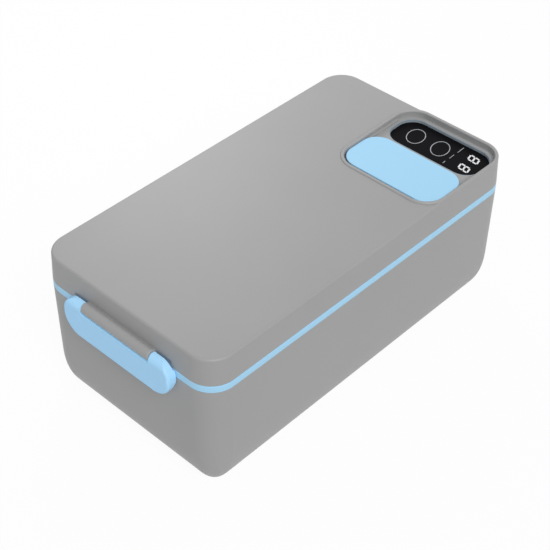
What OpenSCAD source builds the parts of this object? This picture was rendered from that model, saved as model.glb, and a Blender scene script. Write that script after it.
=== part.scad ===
// Electric lunch box: a long grey tub with a light-blue rim band, a lid that
// carries the controls and is hinged at the +Y end, and a snap latch at the -Y end.
// Millimetres, +Z up, origin at the middle of the footprint on the surface.

/* [Body] */
// Width across the two long sides
body_w = 125; // [115:0.5:140]
// Length between the two short ends
body_l = 232.4; // [220:0.2:260]
// Corner radius in plan
corner_r = 14.9; // [13.5:0.1:18]
// Height of the tub's top edge above the surface
tub_h = 72.3; // [68:0.1:84]
// Wall thickness of the moulded shells
wall = 2.4; // [2:0.1:2.8]
// Thickness of the tub's bottom
bottom_t = 3; // [2.8:0.1:4]
// Inset of the sides for each millimetre of depth
side_draft = 0.019; // [0.012:0.001:0.026]
// How far the lower edge tucks in
tuck_in = 9; // [6:0.5:9.5]
// Height at which the tuck starts
tuck_h = 29; // [22:1:34]

/* [Feet and bottom cover] */
// Radius of a rubber foot
foot_r = 6.5; // [5:0.1:7]
// How far the feet stand below the tub
foot_drop = 0.8; // [0.5:0.1:1.4]
// Depth of a foot's seat in the tub's bottom
foot_seat = 1.6; // [1.2:0.1:1.9]
// Distance from a foot's centre to the tub's sides
foot_inset = 19; // [18.5:0.1:21]
// Distance from the bottom cover's edge to the tub's sides
cover_inset = 29; // [28.5:0.1:34]
// Thickness of the bottom cover
cover_t = 2; // [1.6:0.1:2.2]

/* [Rim collar] */
// Height of the light-blue band
band_h = 4.2; // [3.4:0.1:5.6]
// Width of the band's top face along the sides
collar_w = 5; // [4.8:0.1:6]
// Extra width of the shelf at the hinge end
shelf = 12; // [11.5:0.5:16]
// Depth of the ledge that the pan hangs on, below the band's top
ledge_drop = 8.5; // [8:0.1:10]
// Thickness of that ledge
ledge_t = 1.8; // [1.4:0.1:2.4]
// Width of that ledge
ledge_w = 4.2; // [3.6:0.1:5]

/* [Pan and container] */
// Sheet thickness of the pan's flange and wall
pan_t = 1.2; // [1:0.1:1.6]
// Thickness of the pan's bottom
pan_floor_t = 1.6; // [1.2:0.1:2.4]
// Height of the pan's underside above the surface
pan_z = 15.6; // [15:0.1:20]
// Plan corner radius of the pan's wall
pan_r = 17; // [15.5:0.1:20]
// Radius round the bottom of the pan and the container
dish_r = 9; // [6:0.5:11]
// Draft of the pan's and the container's walls, in all
dish_draft = 2.2; // [1.5:0.1:3]
// Sheet thickness of the food container
container_t = 0.8; // [0.6:0.1:1]
// Radius of the rolled edge of the container's flange
roll_r = 0.8; // [0.6:0.1:1]
// Place of the divider, as distance from the container's hinge end
divider_y = 62; // [40:1:150]
// Thickness of the divider
divider_t = 1.2; // [0.8:0.1:2]

/* [Heater] */
// Width of the heater plate
heater_w = 62; // [50:1:66]
// Length of the heater plate
heater_l = 146; // [120:1:156]
// Thickness of the heater plate
heater_t = 1; // [0.8:0.1:1.6]
// Thickness of the clamp under it
clamp_t = 1; // [0.8:0.1:1.6]
// How far the clamp reaches past the heater plate
clamp_edge = 8; // [7.5:0.5:9]
// Thickness of the insulation pad
pad_t = 4; // [3:0.5:5]

/* [Lid] */
// Height of the lid from its lower edge to its top face
lid_h = 16.8; // [16.5:0.1:22]
// Gap between the band and the lid's lower edge
lid_gap = 0.2; // [0.1:0.05:0.4]
// Inset of the lid's sides at the top
lid_draft = 0.6; // [0.3:0.1:1]
// Radius of the lid's top edge
lid_edge_r = 1.2; // [0.8:0.1:2]
// Thickness of the liner under the lid
liner_t = 1.6; // [1.2:0.1:2]
// Thickness of the inner lid
inner_lid_t = 1.6; // [1.2:0.1:2.2]
// Gap between the mouth of the collar and the inner lid
mouth_gap = 1.9; // [1.7:0.1:2.6]

/* [Control pocket] */
// Size of the raised rim along X
pocket_w = 69.7; // [66:0.1:74]
// Size of the raised rim along Y
pocket_l = 70.5; // [68:0.1:76]
// Outer corner radius of the rim
pocket_r = 14.3; // [13:0.1:16]
// Width of the rim
rim_w = 2.1; // [1.7:0.1:2.6]
// Height of the rim above the lid's top
rim_h = 1; // [0.5:0.1:1.6]
// Depth of the pocket's floor below the lid's top
pocket_drop = 3.4; // [3.2:0.1:4.2]
// Thickness of the pocket's floor
pocket_floor_t = 2; // [1.8:0.1:2.4]
// Length of the panel's recess along X
panel_l = 62; // [59:0.1:62.6]
// Width of the panel's recess along Y
panel_w = 26.8; // [25:0.1:27.4]
// Corner radius of the panel's recess
panel_r = 11; // [9:0.1:12]
// Strip of floor between the panel's recess and the pocket's back wall
panel_strip = 1.8; // [1.7:0.1:2.4]
// Depth of the glass below the pocket's floor
glass_drop = 1.8; // [1.4:0.1:2.6]
// Thickness of the glass
glass_t = 2; // [1.2:0.1:2.4]
// Width of the gasket round the glass
gasket_w = 0.5; // [0.4:0.1:0.8]

/* [Socket cover] */
// Width of the cover along Y
pad_w = 32.1; // [30:0.1:34]
// Corner radius of the cover
pad_r = 11; // [8:0.1:13]
// Thickness of the cover
pad_plate = 1.2; // [1:0.1:1.4]
// Gap in front of the cover, for a fingernail
pad_front_gap = 2; // [1.8:0.1:2.4]
// Height of the cover's top below the lid's top
pad_drop = 0.6; // [0.4:0.1:0.8]
// Radius of the cover's hinge barrel
barrel_r = 1; // [0.9:0.05:1.1]
// Radius of the cover's hinge pin
pad_pin_r = 0.6; // [0.5:0.05:0.65]
// Length of the cover's hinge barrel
barrel_l = 36; // [24:1:38]

/* [Power socket] */
// Radius of the socket's body
socket_r = 4.4; // [4.2:0.1:5]
// Radius of the socket's opening
socket_bore_r = 3; // [2.8:0.1:3.4]
// Depth of the socket's opening
socket_depth = 9; // [8:0.1:9.4]

/* [Latch] */
// Width of the latch over its ears
latch_w = 77; // [72:0.5:84]
// Height of the latch's front plate
latch_h = 22.5; // [21:0.1:25]
// Height of the latch's thick part
latch_thick_h = 17.4; // [16.5:0.1:18]
// How far the latch stands off the wall
latch_off = 5.8; // [5.6:0.1:6.4]
// Thickness of the front plate and the lip
latch_plate = 1.6; // [1.4:0.1:2]
// Upper corner radius of the latch
latch_top_r = 9; // [6:0.5:10]
// Lower corner radius of the latch
latch_low_r = 11.5; // [8:0.5:12]
// Radius of the lid's bar
bar_r = 3.3; // [3.1:0.1:3.5]
// Length of the lid's bar
bar_l = 48.8; // [44:0.2:52]
// Radius of the latch pin
latch_pin_r = 1; // [0.8:0.05:1.1]

/* [Lid hinge] */
// Outer radius of the hinge knuckles
knuckle_r = 2.7; // [2.6:0.1:2.9]
// Gap between a knuckle and the wall behind it
knuckle_gap = 0.4; // [0.35:0.05:0.5]
// Radius of the hinge pin
hinge_pin_r = 1.2; // [1:0.05:1.3]
// Length of the hinge over all knuckles
hinge_l = 60; // [50:1:70]

/* [Clearances] */
// Side clearance between a moving piece and what it turns between
side_gap = 0.4; // [0.3:0.05:0.5]
// Radial clearance of a pin that turns
pin_gap = 0.05; // [0.03:0.01:0.08]
// Clearance of a piece that drops into a seat
seat_gap = 0.2; // [0.1:0.05:0.3]
// Clearance between moulded pieces that pass each other
pass_gap = 0.3; // [0.25:0.05:0.5]

/* [Hidden] */
$fn = 48;

grey = "#a2a2a2";
blue = "#a6d3f2";
steel = "#c9ccce";
dark = "#2b2c2e";

// Heights
collar_top = tub_h + band_h;
ledge_z = collar_top - ledge_drop;
lid_z0 = collar_top + lid_gap;
lid_top = lid_z0 + lid_h;
liner_z = lid_z0 + seat_gap;
floor_z = lid_top - pocket_drop;
floor_under = floor_z - pocket_floor_t;
rim_top = lid_top + rim_h;
glass_z = floor_z - glass_drop;
glass_seat = glass_z - glass_t;
panel_shelf_t = 1.5;
panel_under = glass_seat - panel_shelf_t;

// Mouth of the collar, which the pan hangs in and the inner lid closes
mouth_w = body_w - 2 * collar_w;
mouth_l = body_l - 2 * collar_w - shelf;
mouth_r = corner_r - collar_w;
mouth_y = -shelf / 2;

// Pan and container outlines (outer faces of their walls)
pan_step = ledge_w + 2 * seat_gap;
pan_w = mouth_w - 2 * pan_step;
pan_l = mouth_l - 2 * pan_step;
pan_flange_z = ledge_z + pan_t;
dish_gap = 0.6;
container_w = pan_w - 2 * (pan_t + dish_gap);
container_l = pan_l - 2 * (pan_t + dish_gap);
container_r = pan_r - pan_t - dish_gap;
container_z = pan_z + pan_floor_t;
flange_z = pan_flange_z + seat_gap;
flange_in = 0.5;
flange_top = flange_z + container_t;
roll_z = pan_flange_z + roll_r + 0.02;

// Inner lid
inner_w = mouth_w - 2 * mouth_gap;
inner_l = mouth_l - 2 * mouth_gap;
inner_r = mouth_r - mouth_gap;
inner_z = roll_z + roll_r + pass_gap + 1.1;
gasket_lip = 1.2;
stud_x = inner_w / 2 - 26;
stud_y = inner_l / 2 - 34;
valve_y = mouth_y - 58;

// Tub
tub_foot = foot_drop;
inner_floor = foot_drop + bottom_t;
plate_in = corner_r - 1;
tuck_steps = 7;
function side_inset(z) = side_draft * (tub_h - z) + tuck_in * pow(max(0, (tuck_h - z) / tuck_h), 3);
function inner_inset(z) = side_inset(max(tub_foot, z - wall)) + wall;
outer_heights = [for (i = [0 : tuck_steps]) tuck_h - i * (tuck_h - tub_foot) / tuck_steps];
inner_step = (tuck_h + wall - inner_floor) / tuck_steps;
inner_heights = [for (i = [0 : tuck_steps]) inner_floor + i * inner_step];
tub_profile = concat(
    [[0, tub_h]],
    [for (z = outer_heights) [side_inset(z), z]],
    [[plate_in, tub_foot], [plate_in, inner_floor]],
    [for (z = inner_heights) [inner_inset(z), z]],
    [[wall, tub_h]]
);

// Bottom cover and feet
cover_w = body_w - 2 * cover_inset;
cover_l = body_l - 2 * cover_inset;
cover_r = 2.5;
cover_lip = 6;
cover_top = tub_foot + seat_gap + cover_t;
cover_screw_x = cover_w / 2 - cover_lip / 2;
cover_screw_y = cover_l / 2 - cover_lip / 2;
cover_screw_ys = [-cover_screw_y, 0, cover_screw_y];
boss_r = 3.5;
bottom_boss_h = 5;
bottom_screw_l = bottom_boss_h + 0.5;
foot_x = body_w / 2 - foot_inset;
foot_y = body_l / 2 - foot_inset;

// Screws: pilot and shank radius, head radius and head height
screw_r = 1.4;
screw_head_r = 2.8;
screw_head_h = 1;
small_screw_r = 1.1;
small_head_r = 2;
small_head_h = 1.2;

// Heater stack, from the pan downwards
heater_z = pan_z - heater_t;
clamp_z = heater_z - clamp_t;
pad_z = clamp_z - pad_t;
clamp_w = heater_w + 2 * clamp_edge;
clamp_l = heater_l + 2 * clamp_edge;
stud_r = 1.5;
stud_h = 6;
nut_af = 5.5;
nut_h = 2.4;
clamp_stud_x = heater_w / 2 + clamp_edge / 2;
clamp_stud_y = heater_l / 2 + clamp_edge / 2;
window_w = heater_w - 8;
window_l = 56;
window_y = mouth_y + heater_l / 2 - window_l / 2 - 6;
thermostat_xy = [2, window_y + 2];
fuse_xy = [5 - window_w / 2, window_y + 6];
sensor_xy = [window_w / 2 - 4, window_y - 8];
thermostat_r = 8;
thermostat_h = 6;
fuse_r = 2;
fuse_l = 12;
sensor_r = 2.5;
sensor_l = 12;
tab_x = 12;
tab_l = 8;
tab_end = mouth_y + heater_l / 2 + tab_l;
lead_r = 1;

// Contact blocks at the hinge end
contact_y = body_l / 2 - collar_w - shelf / 2;
contact_w = 30;
contact_d = 7.6;
contact_h = 7;
contact_pitch = 8;
contact_xs = [-contact_pitch, 0, contact_pitch];
contact_r = 2;
contact_sink = 0.2;
block_lip = 0.4;

// Collar screws
collar_screw_x = body_w / 2 - 22;
collar_boss_h = 14;

// Lid hinge
hinge_y = body_l / 2 + knuckle_gap + knuckle_r;
hinge_z = lid_z0 - lid_gap / 2;
knuckle_w = (hinge_l - 4 * side_gap) / 5;
knuckle_pitch = knuckle_w + side_gap;
stop_angle = -50;
stop_reach = knuckle_r + 0.45;

// Latch
latch_y = -body_l / 2 - latch_off + bar_r;
latch_z = lid_z0 + 2.5;
latch_wall_y = body_l / 2 + latch_y;
ear_r = -latch_wall_y - seat_gap;
latch_back = -latch_wall_y - pass_gap;
latch_front = -bar_r;
notch_z = -3;
ear_round_r = 4.5;
latch_low = ear_r - latch_h;
latch_step = ear_r - latch_thick_h;
ear_x = bar_l / 2 + pass_gap;
pin_blind = 5.5;
catch_w = 36;
catch_reach = 2;
catch_h = 2.2;
catch_z = latch_z + latch_step + latch_plate + pass_gap + 0.3;

// Control pocket
pocket_x = body_w / 2 - lid_draft - pocket_w / 2;
pocket_y = body_l / 2 - lid_draft - pocket_l / 2;
pocket_in_w = pocket_w - 2 * rim_w;
pocket_in_l = pocket_l - 2 * rim_w;
pocket_in_r = pocket_r - rim_w;
pocket_front = pocket_y - pocket_in_l / 2;
pocket_back = pocket_y + pocket_in_l / 2;
panel_y = pocket_back - panel_strip - panel_w / 2;
panel_wall = 1.6;
panel_bite = 1.8;
rail_w = 1;
rail_h = 1.5;
rail_l = pocket_in_l - 2 * pocket_in_r;

// Socket cover and socket
pad_l = pocket_in_w - 2 * side_gap;
pad_top = lid_top - pad_drop;
pad_under = pad_top - pad_plate;
pad_front = pocket_front + pad_front_gap;
pad_y = pad_front + pad_w / 2;
pad_over = barrel_r + 0.1;
pad_axis_y = pad_front + pad_w - pad_over;
pad_axis_z = pad_under - barrel_r - 0.1;
trench_z = pad_axis_z - pad_over - 0.4;
post_w = 2.4;
socket_y = pad_y + 1;
socket_flange_r = socket_r + 1.6;
socket_flange_h = 0.7;

// Boards
board_t = 1.6;
board_z = panel_under - board_t - 1.6;
board_top = board_z + board_t;
board_x0 = pocket_x - pocket_w / 2 + 5;
board_x1 = pocket_x + pocket_w / 2 - 6;
board_y0 = pocket_front + 4;
board_y1 = pocket_back - 4.5;
board_r = 3;
board_mount_x = [board_x0 + 4, board_x1 - 9];
board_mount_y = [board_y0 + 4, board_y0 + 31];
ring_x = [pocket_x - 17.2, pocket_x];
ring_y = panel_y + 0.85;
digits_x = pocket_x + 19.4;
digits_y = panel_y + 0.75;

// Lid screws, [x, y]
liner_rib = 2;
lid_screw_reach = corner_r - wall - liner_rib - boss_r - 0.6;
lid_screw_x = body_w / 2 - corner_r + 0.8 * lid_screw_reach;
lid_screw_y = body_l / 2 - corner_r + 0.6 * lid_screw_reach;
lid_screws_at = [
    [-lid_screw_x, -lid_screw_y], [lid_screw_x, -lid_screw_y],
    [-lid_screw_x, -lid_screw_y / 3], [lid_screw_x, -lid_screw_y / 3],
    [-lid_screw_x, lid_screw_y / 3], [lid_screw_x, lid_screw_y / 3],
    [-lid_screw_x, lid_screw_y], [-lid_screw_x / 2.4, lid_screw_y]
];

// Routes of the leads, by hand
lead_x = contact_pitch;
block_foot = collar_top - contact_h;
fuse_z = clamp_z - fuse_r;
blade_z = clamp_z - thermostat_h - 0.2;
blade_x = thermostat_xy[0] + 6.4;
tab_y = tab_end - 3;
route_live_in = [
    [-lead_x, contact_y, block_foot + 1], [-lead_x, contact_y, block_foot - 8],
    [-lead_x - 4, contact_y, 34], [-lead_x - 6, contact_y - 1, 12], [-16, contact_y - 10, 6],
    [fuse_xy[0], fuse_xy[1] + 36, 6], [fuse_xy[0], fuse_xy[1] + 14, fuse_z],
    [fuse_xy[0], fuse_xy[1] + fuse_l / 2, fuse_z]
];
route_live_out = [
    [fuse_xy[0], fuse_xy[1] - fuse_l / 2, fuse_z], [fuse_xy[0], fuse_xy[1] - 10, fuse_z],
    [fuse_xy[0] + 7, fuse_xy[1] - 11, 7], [fuse_xy[0] + 10, fuse_xy[1] + 10, 6],
    [-tab_x, tab_y - 6, 6.5], [-tab_x, tab_y, 8], [-tab_x, tab_y, heater_z]
];
route_return_in = [
    [0, contact_y, block_foot + 1], [0, contact_y, block_foot - 8],
    [1, contact_y, 34], [2, contact_y - 1, 12], [14, contact_y - 13, 6],
    [18, thermostat_xy[1] + 25, 6], [17, thermostat_xy[1] - 1, 6.6],
    [13, thermostat_xy[1] - 4, blade_z], [blade_x, thermostat_xy[1] - 4, blade_z]
];
route_return_out = [
    [blade_x, thermostat_xy[1] + 4, blade_z], [blade_x + 4, thermostat_xy[1] + 4, blade_z],
    [blade_x + 4.6, thermostat_xy[1] + 9, 6.8], [tab_x + 0.5, tab_y - 12, 6],
    [tab_x, tab_y - 1, 7.5], [tab_x, tab_y, 10], [tab_x, tab_y, heater_z]
];
route_sensor = [
    [lead_x, contact_y, block_foot + 1], [lead_x, contact_y, block_foot - 8],
    [lead_x + 4, contact_y, 34], [lead_x + 5, contact_y - 1, 12],
    [cover_screw_x - boss_r - 3.5, contact_y - 12, 6], [cover_screw_x - boss_r - 3.5, contact_y - 30, 5.5],
    [sensor_xy[0], sensor_xy[1] + 30, 6], [sensor_xy[0], sensor_xy[1] + 15, 9],
    [sensor_xy[0], sensor_xy[1] + 9, clamp_z - sensor_r],
    [sensor_xy[0], sensor_xy[1] + sensor_l / 2, clamp_z - sensor_r]
];
plug_xy = [board_x0 + 3.5, board_y0 + 20];
lid_lead_x = -10;
lid_block_h = 4.2;
route_lid = [
    [lid_lead_x, contact_y, liner_z + lid_block_h - 0.5],
    [lid_lead_x, contact_y, liner_z + lid_block_h + 1],
    [lid_lead_x - 1, contact_y - 5, board_top + 1], [plug_xy[0] - 10, plug_xy[1] + 7, board_top + 1.8],
    [plug_xy[0] - 7, plug_xy[1], board_top + 1.6], [plug_xy[0] - 3, plug_xy[1], board_top + 1.6]
];

// ---- Shared shapes ----

// Its children stand at the four corners, turned outwards
module at_corners(l, w, r) {
    for (turn = [0 : 3]) {
        sx = turn == 0 || turn == 3 ? 1 : -1;
        sy = turn < 2 ? 1 : -1;
        translate([sx * (w / 2 - r), sy * (l / 2 - r), 0]) rotate([0, 0, 90 * turn]) children();
    }
}

// Closed ring on a rounded rectangle. The child is its section: x is the inset, y the height.
module ring(l, w, r) {
    at_corners(l, w, r) rotate_extrude(angle = 90) translate([r, 0]) mirror([1, 0]) children();
    for (turn = [0, 180]) {
        rotate([0, 0, turn]) translate([w / 2 - r, l / 2 - r, 0]) rotate([90, 0, 0])
            linear_extrude(l - 2 * r) translate([r, 0]) mirror([1, 0]) children();
        rotate([0, 0, turn]) translate([r - w / 2, l / 2 - r, 0]) rotate([90, 0, 90])
            linear_extrude(w - 2 * r) translate([r, 0]) mirror([1, 0]) children();
    }
}

// Plate with a rounded-rectangle outline, from z0 up to z1
module slab(l, w, r, z0, z1) {
    translate([r - w / 2, -l / 2, z0]) cube([w - 2 * r, l, z1 - z0]);
    translate([-w / 2, r - l / 2, z0]) cube([w, l - 2 * r, z1 - z0]);
    at_corners(l, w, r) translate([0, 0, z0]) cylinder(r = r, h = z1 - z0);
}

// Rectangle in a section, from its lower inner corner to its upper outer one
module cell(x0, y0, x1, y1) {
    translate([x0, y0]) square([x1 - x0, y1 - y0]);
}

// Box from its lowest to its highest corner
module block(low, high) {
    translate(low) cube(high - low);
}

// Cylinder along X, centred on x
module rod_x(r, len) {
    translate([-len / 2, 0, 0]) rotate([0, 90, 0]) cylinder(r = r, h = len);
}

// Extrudes a section of the Y-Z plane along X, centred on x
module along_x(len) {
    translate([-len / 2, 0, 0]) rotate([90, 0, 90]) linear_extrude(len) children();
}

// Pan-head screw with its head at the bottom and its shank up
module screw(r, len, head_r, head_h) {
    difference() {
        union() {
            cylinder(r = head_r, h = head_h);
            cylinder(r = r, h = head_h + len);
        }
        for (turn = [0, 90])
            rotate([0, 0, turn]) translate([-head_r * 0.6, -head_r * 0.14, -1])
                cube([head_r * 1.2, head_r * 0.28, 1 + head_h * 0.6]);
    }
}

// Wall of a drawn dish in section, from its top edge down to its filleted bottom
function dish_point(r, x, z, a) = [x - r * cos(a), z - r * sin(a)];
module dish_section(z0, z1, t) {
    x = dish_draft + dish_r;
    z = z0 + dish_r;
    steps = 7;
    polygon(concat(
        [[0, z1]],
        [for (i = [0 : steps]) dish_point(dish_r, x, z, 90 * i / steps)],
        [[x + 1, z0], [x + 1, z0 + t]],
        [for (i = [steps : -1 : 0]) dish_point(dish_r - t, x, z, 90 * i / steps)],
        [[t, z1]]
    ));
}
module dish(l, w, r, z0, z1, t, floor_t) {
    x = dish_draft + dish_r;
    ring(l, w, r) dish_section(z0, z1, t);
    slab(l - 2 * x, w - 2 * x, r - x, z0, z0 + floor_t);
}

// Round lead: a route with its corners cut, swept by an eight-sided section
function cut_corners(p) = concat(
    [p[0]],
    [for (i = [0 : len(p) - 2]) each [0.72 * p[i] + 0.28 * p[i + 1], 0.28 * p[i] + 0.72 * p[i + 1]]],
    [p[len(p) - 1]]
);
function unit(v) = v / norm(v);
function heading(p, i) = unit(p[min(i + 1, len(p) - 1)] - p[max(i - 1, 0)]);
function spoke(h, r, a) =
    let (u = unit(cross(h, [0.92, 0.38, 0.1])))
    r * (cos(a) * u + sin(a) * cross(h, u));
module lead(route, r) {
    sides = 8;
    p = cut_corners(route);
    n = len(p);
    points = [
        for (i = [0 : n - 1]) for (k = [0 : sides - 1])
            p[i] + spoke(heading(p, i), r, 360 * k / sides)
    ];
    walls = [for (i = [0 : n - 2]) for (k = [0 : sides - 1])
        let (a = i * sides + k, b = i * sides + (k + 1) % sides)
            each [[a, a + sides, b], [b, a + sides, b + sides]]];
    start = [for (k = [0 : sides - 1]) k];
    end = [for (k = [sides - 1 : -1 : 0]) (n - 1) * sides + k];
    polyhedron(points, concat([start, end], walls), convexity = 6);
}

// ---- Base ----

module base_shell() {
    color(grey)
        difference() {
            union() {
                ring(body_l, body_w, corner_r) polygon(tub_profile);
                block(
                    [plate_in - 0.5 - body_w / 2, plate_in - 0.5 - body_l / 2, tub_foot],
                    [body_w / 2 - plate_in + 0.5, body_l / 2 - plate_in + 0.5, inner_floor]
                );
                for (x = [-1, 1])
                    for (y = cover_screw_ys)
                        translate([x * cover_screw_x, y, tub_foot + 1])
                            cylinder(r = boss_r, h = bottom_t - 1 + bottom_boss_h);
                collar_bosses();
                latch_catch();
                base_knuckles();
            }
            slab(
                cover_l + 2 * seat_gap, cover_w + 2 * seat_gap, cover_r + seat_gap,
                tub_foot - 1, cover_top
            );
            slab(cover_l - 2 * cover_lip, cover_w - 2 * cover_lip, 1, tub_foot - 1, inner_floor + 1);
            for (x = [-1, 1]) {
                for (y = cover_screw_ys)
                    translate([x * cover_screw_x, y, tub_foot])
                        cylinder(r = screw_r, h = 1.5 + bottom_screw_l);
                translate([x * collar_screw_x, contact_y, tub_h - collar_boss_h + 2])
                    cylinder(r = screw_r, h = collar_boss_h);
                for (y = [-1, 1])
                    translate([x * foot_x, y * foot_y, tub_foot - 1])
                        cylinder(r = foot_r + seat_gap / 2, h = 1 + foot_seat);
            }
        }
}

// Bosses for the collar's screws, on brackets off the back wall
module collar_bosses() {
    for (x = [-1, 1])
        translate([x * collar_screw_x, contact_y, tub_h - collar_boss_h]) {
            cylinder(r = boss_r, h = collar_boss_h);
            block(
                [-1.2, 0, 0],
                [1.2, body_l / 2 - contact_y - wall / 2, collar_boss_h - tub_h + ledge_z - 0.3]
            );
        }
}

// Ledge on the front wall that the latch snaps over
module latch_catch() {
    translate([0, -body_l / 2, catch_z])
        along_x(catch_w)
            polygon([
                [1, 0], [-catch_reach, 0], [-catch_reach, catch_h * 0.5],
                [0, catch_h + 1.5], [1, catch_h + 1.5]
            ]);
}

// Knuckles of the base: both ends and the middle
module base_knuckles() {
    for (k = [-2, 0, 2])
        translate([k * knuckle_pitch, hinge_y, hinge_z])
            difference() {
                along_x(knuckle_w) {
                    circle(r = knuckle_r);
                    cell(-knuckle_r - knuckle_gap, -band_h - knuckle_r - 1.6, 0, -band_h - 0.4);
                    cell(-knuckle_r - knuckle_gap + 0.1, -band_h - 1, 0, 0);
                    polygon([
                        [-knuckle_r - knuckle_gap - 0.8, -band_h - 2],
                        [0, -band_h - knuckle_r], [knuckle_r, -1], [0, 0],
                        [-knuckle_r - knuckle_gap + 0.1, -1],
                        [-knuckle_r - knuckle_gap + 0.1, -band_h - 0.3],
                        [-knuckle_r - knuckle_gap - 0.8, -band_h - 0.3 - lid_gap]
                    ]);
                    polygon([
                        [-knuckle_r - knuckle_gap - 0.8, -band_h - 2],
                        [0, -band_h - knuckle_r], [-knuckle_r - knuckle_gap - 0.8, -band_h - 12]
                    ]);
                }
                rod_x(hinge_pin_r, knuckle_w + 2);
            }
}

module bottom_cover() {
    color(grey)
        difference() {
            slab(cover_l, cover_w, cover_r, cover_top - cover_t, cover_top);
            for (x = [-1, 1])
                for (y = cover_screw_ys)
                    translate([x * cover_screw_x, y, cover_top - cover_t - 1]) {
                        cylinder(r = screw_head_r + seat_gap, h = 1 + screw_head_h);
                        cylinder(r = screw_r + seat_gap, h = 2 + cover_t);
                    }
        }
}

module bottom_screws() {
    color(steel)
        for (x = [-1, 1])
            for (y = cover_screw_ys)
                translate([x * cover_screw_x, y, cover_top - cover_t])
                    screw(screw_r, bottom_screw_l, screw_head_r, screw_head_h);
}

module rubber_feet() {
    color(dark)
        for (x = [-1, 1])
            for (y = [-1, 1])
                translate([x * foot_x, y * foot_y, 0])
                    cylinder(r = foot_r, h = foot_drop + foot_seat);
}

module rim_collar() {
    skirt_in = inner_inset(ledge_z - ledge_t) + seat_gap;
    color(blue)
        difference() {
            union() {
                slab(body_l, body_w, corner_r, tub_h, collar_top);
                ring(body_l, body_w, corner_r) cell(skirt_in, ledge_z, skirt_in + 1.3, tub_h + 1);
                translate([0, mouth_y, 0])
                    ring(mouth_l + 2 * 1.6, mouth_w + 2 * 1.6, mouth_r + 1.6)
                        cell(0, ledge_z - ledge_t, 1.6 + ledge_w, tub_h + 1);
            }
            translate([0, mouth_y, 0]) {
                slab(mouth_l, mouth_w, mouth_r, ledge_z, collar_top + 1);
                slab(
                    mouth_l - 2 * ledge_w, mouth_w - 2 * ledge_w, mouth_r - ledge_w,
                    ledge_z - 5, ledge_z + 1
                );
            }
            block(
                [-contact_w / 2 - seat_gap, contact_y - contact_d / 2 - seat_gap, tub_h - 1],
                [contact_w / 2 + seat_gap, contact_y + contact_d / 2 + seat_gap, collar_top + 1]
            );
            for (x = [-1, 1])
                translate([x * collar_screw_x, contact_y, tub_h - 1]) {
                    cylinder(r = screw_r + seat_gap, h = band_h + 2);
                    translate([0, 0, 1 + band_h - screw_head_h - seat_gap])
                        cylinder(r = screw_head_r + seat_gap, h = 2);
                }
        }
}

module collar_screws() {
    color(steel)
        for (x = [-1, 1])
            translate([x * collar_screw_x, contact_y, collar_top - seat_gap]) mirror([0, 0, 1])
                screw(screw_r, band_h + collar_boss_h - 4, screw_head_r, screw_head_h);
}

module heating_pan() {
    flange_w = mouth_w - 2 * seat_gap;
    flange_l = mouth_l - 2 * seat_gap;
    color(steel)
        translate([0, mouth_y, 0]) {
            difference() {
                slab(flange_l, flange_w, mouth_r - seat_gap, ledge_z, pan_flange_z);
                slab(pan_l - pan_t, pan_w - pan_t, pan_r - pan_t / 2, ledge_z - 1, pan_flange_z + 1);
            }
            dish(pan_l, pan_w, pan_r, pan_z, pan_flange_z, pan_t, pan_floor_t);
            for (x = [-1, 1])
                for (y = [-1, 1])
                    translate([x * clamp_stud_x, y * clamp_stud_y, pan_z - stud_h])
                        cylinder(r = stud_r, h = stud_h + 0.5);
        }
}

module heater_plate() {
    color("#b9a27a")
        translate([0, mouth_y, 0]) {
            slab(heater_l, heater_w, 4, heater_z, pan_z);
            for (x = [-1, 1])
                block(
                    [x * tab_x - 3, heater_l / 2 - 2, heater_z],
                    [x * tab_x + 3, heater_l / 2 + tab_l, pan_z - 0.2]
                );
        }
}

module heater_clamp() {
    color(steel)
        translate([0, mouth_y, 0])
            difference() {
                slab(clamp_l, clamp_w, 5, clamp_z, heater_z);
                for (x = [-1, 1]) {
                    for (y = [-1, 1])
                        translate([x * clamp_stud_x, y * clamp_stud_y, clamp_z - 1])
                            cylinder(r = stud_r + seat_gap, h = clamp_t + 2);
                    block(
                        [x * tab_x - 4, heater_l / 2 - 1, clamp_z - 1],
                        [x * tab_x + 4, clamp_l / 2 + 1, pan_z]
                    );
                }
            }
}

module clamp_nuts() {
    color(steel)
        for (x = [-1, 1])
            for (y = [-1, 1])
                translate([x * clamp_stud_x, mouth_y + y * clamp_stud_y, clamp_z - nut_h])
                    difference() {
                        cylinder(r = nut_af / sqrt(3), h = nut_h, $fn = 6);
                        translate([0, 0, -1]) cylinder(r = stud_r, h = nut_h + 2);
                    }
}

module insulation_pad() {
    color("#e8e4d8")
        difference() {
            translate([0, mouth_y, 0]) slab(clamp_l - 2, clamp_w - 2, 4, pad_z, clamp_z);
            block(
                [-window_w / 2, window_y - window_l / 2, pad_z - 1],
                [window_w / 2, window_y + window_l / 2 + 20, pan_z]
            );
            for (x = [-1, 1])
                for (y = [-1, 1])
                    translate([x * clamp_stud_x, mouth_y + y * clamp_stud_y, pad_z - 1])
                        cylinder(r = nut_af / 2 + 1.4, h = pad_t + 2);
        }
}

// Snap-disc thermostat: metal cap against the clamp, body and two blades below
module thermostat() {
    color(dark)
        translate([thermostat_xy[0], thermostat_xy[1], clamp_z]) {
            translate([0, 0, -2]) cylinder(r = thermostat_r, h = 2);
            translate([0, 0, -thermostat_h]) cylinder(r = thermostat_r - 1.2, h = thermostat_h);
            for (y = [-1, 1])
                block([0, y * 4 - 2, -thermostat_h - 0.8], [6.4, y * 4 + 2, -thermostat_h + 0.4]);
        }
}

module thermal_fuse() {
    color("#d8d2c0")
        translate([fuse_xy[0], fuse_xy[1], clamp_z - fuse_r])
            rotate([90, 0, 0]) translate([0, 0, -fuse_l / 2]) cylinder(r = fuse_r, h = fuse_l);
}

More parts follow.
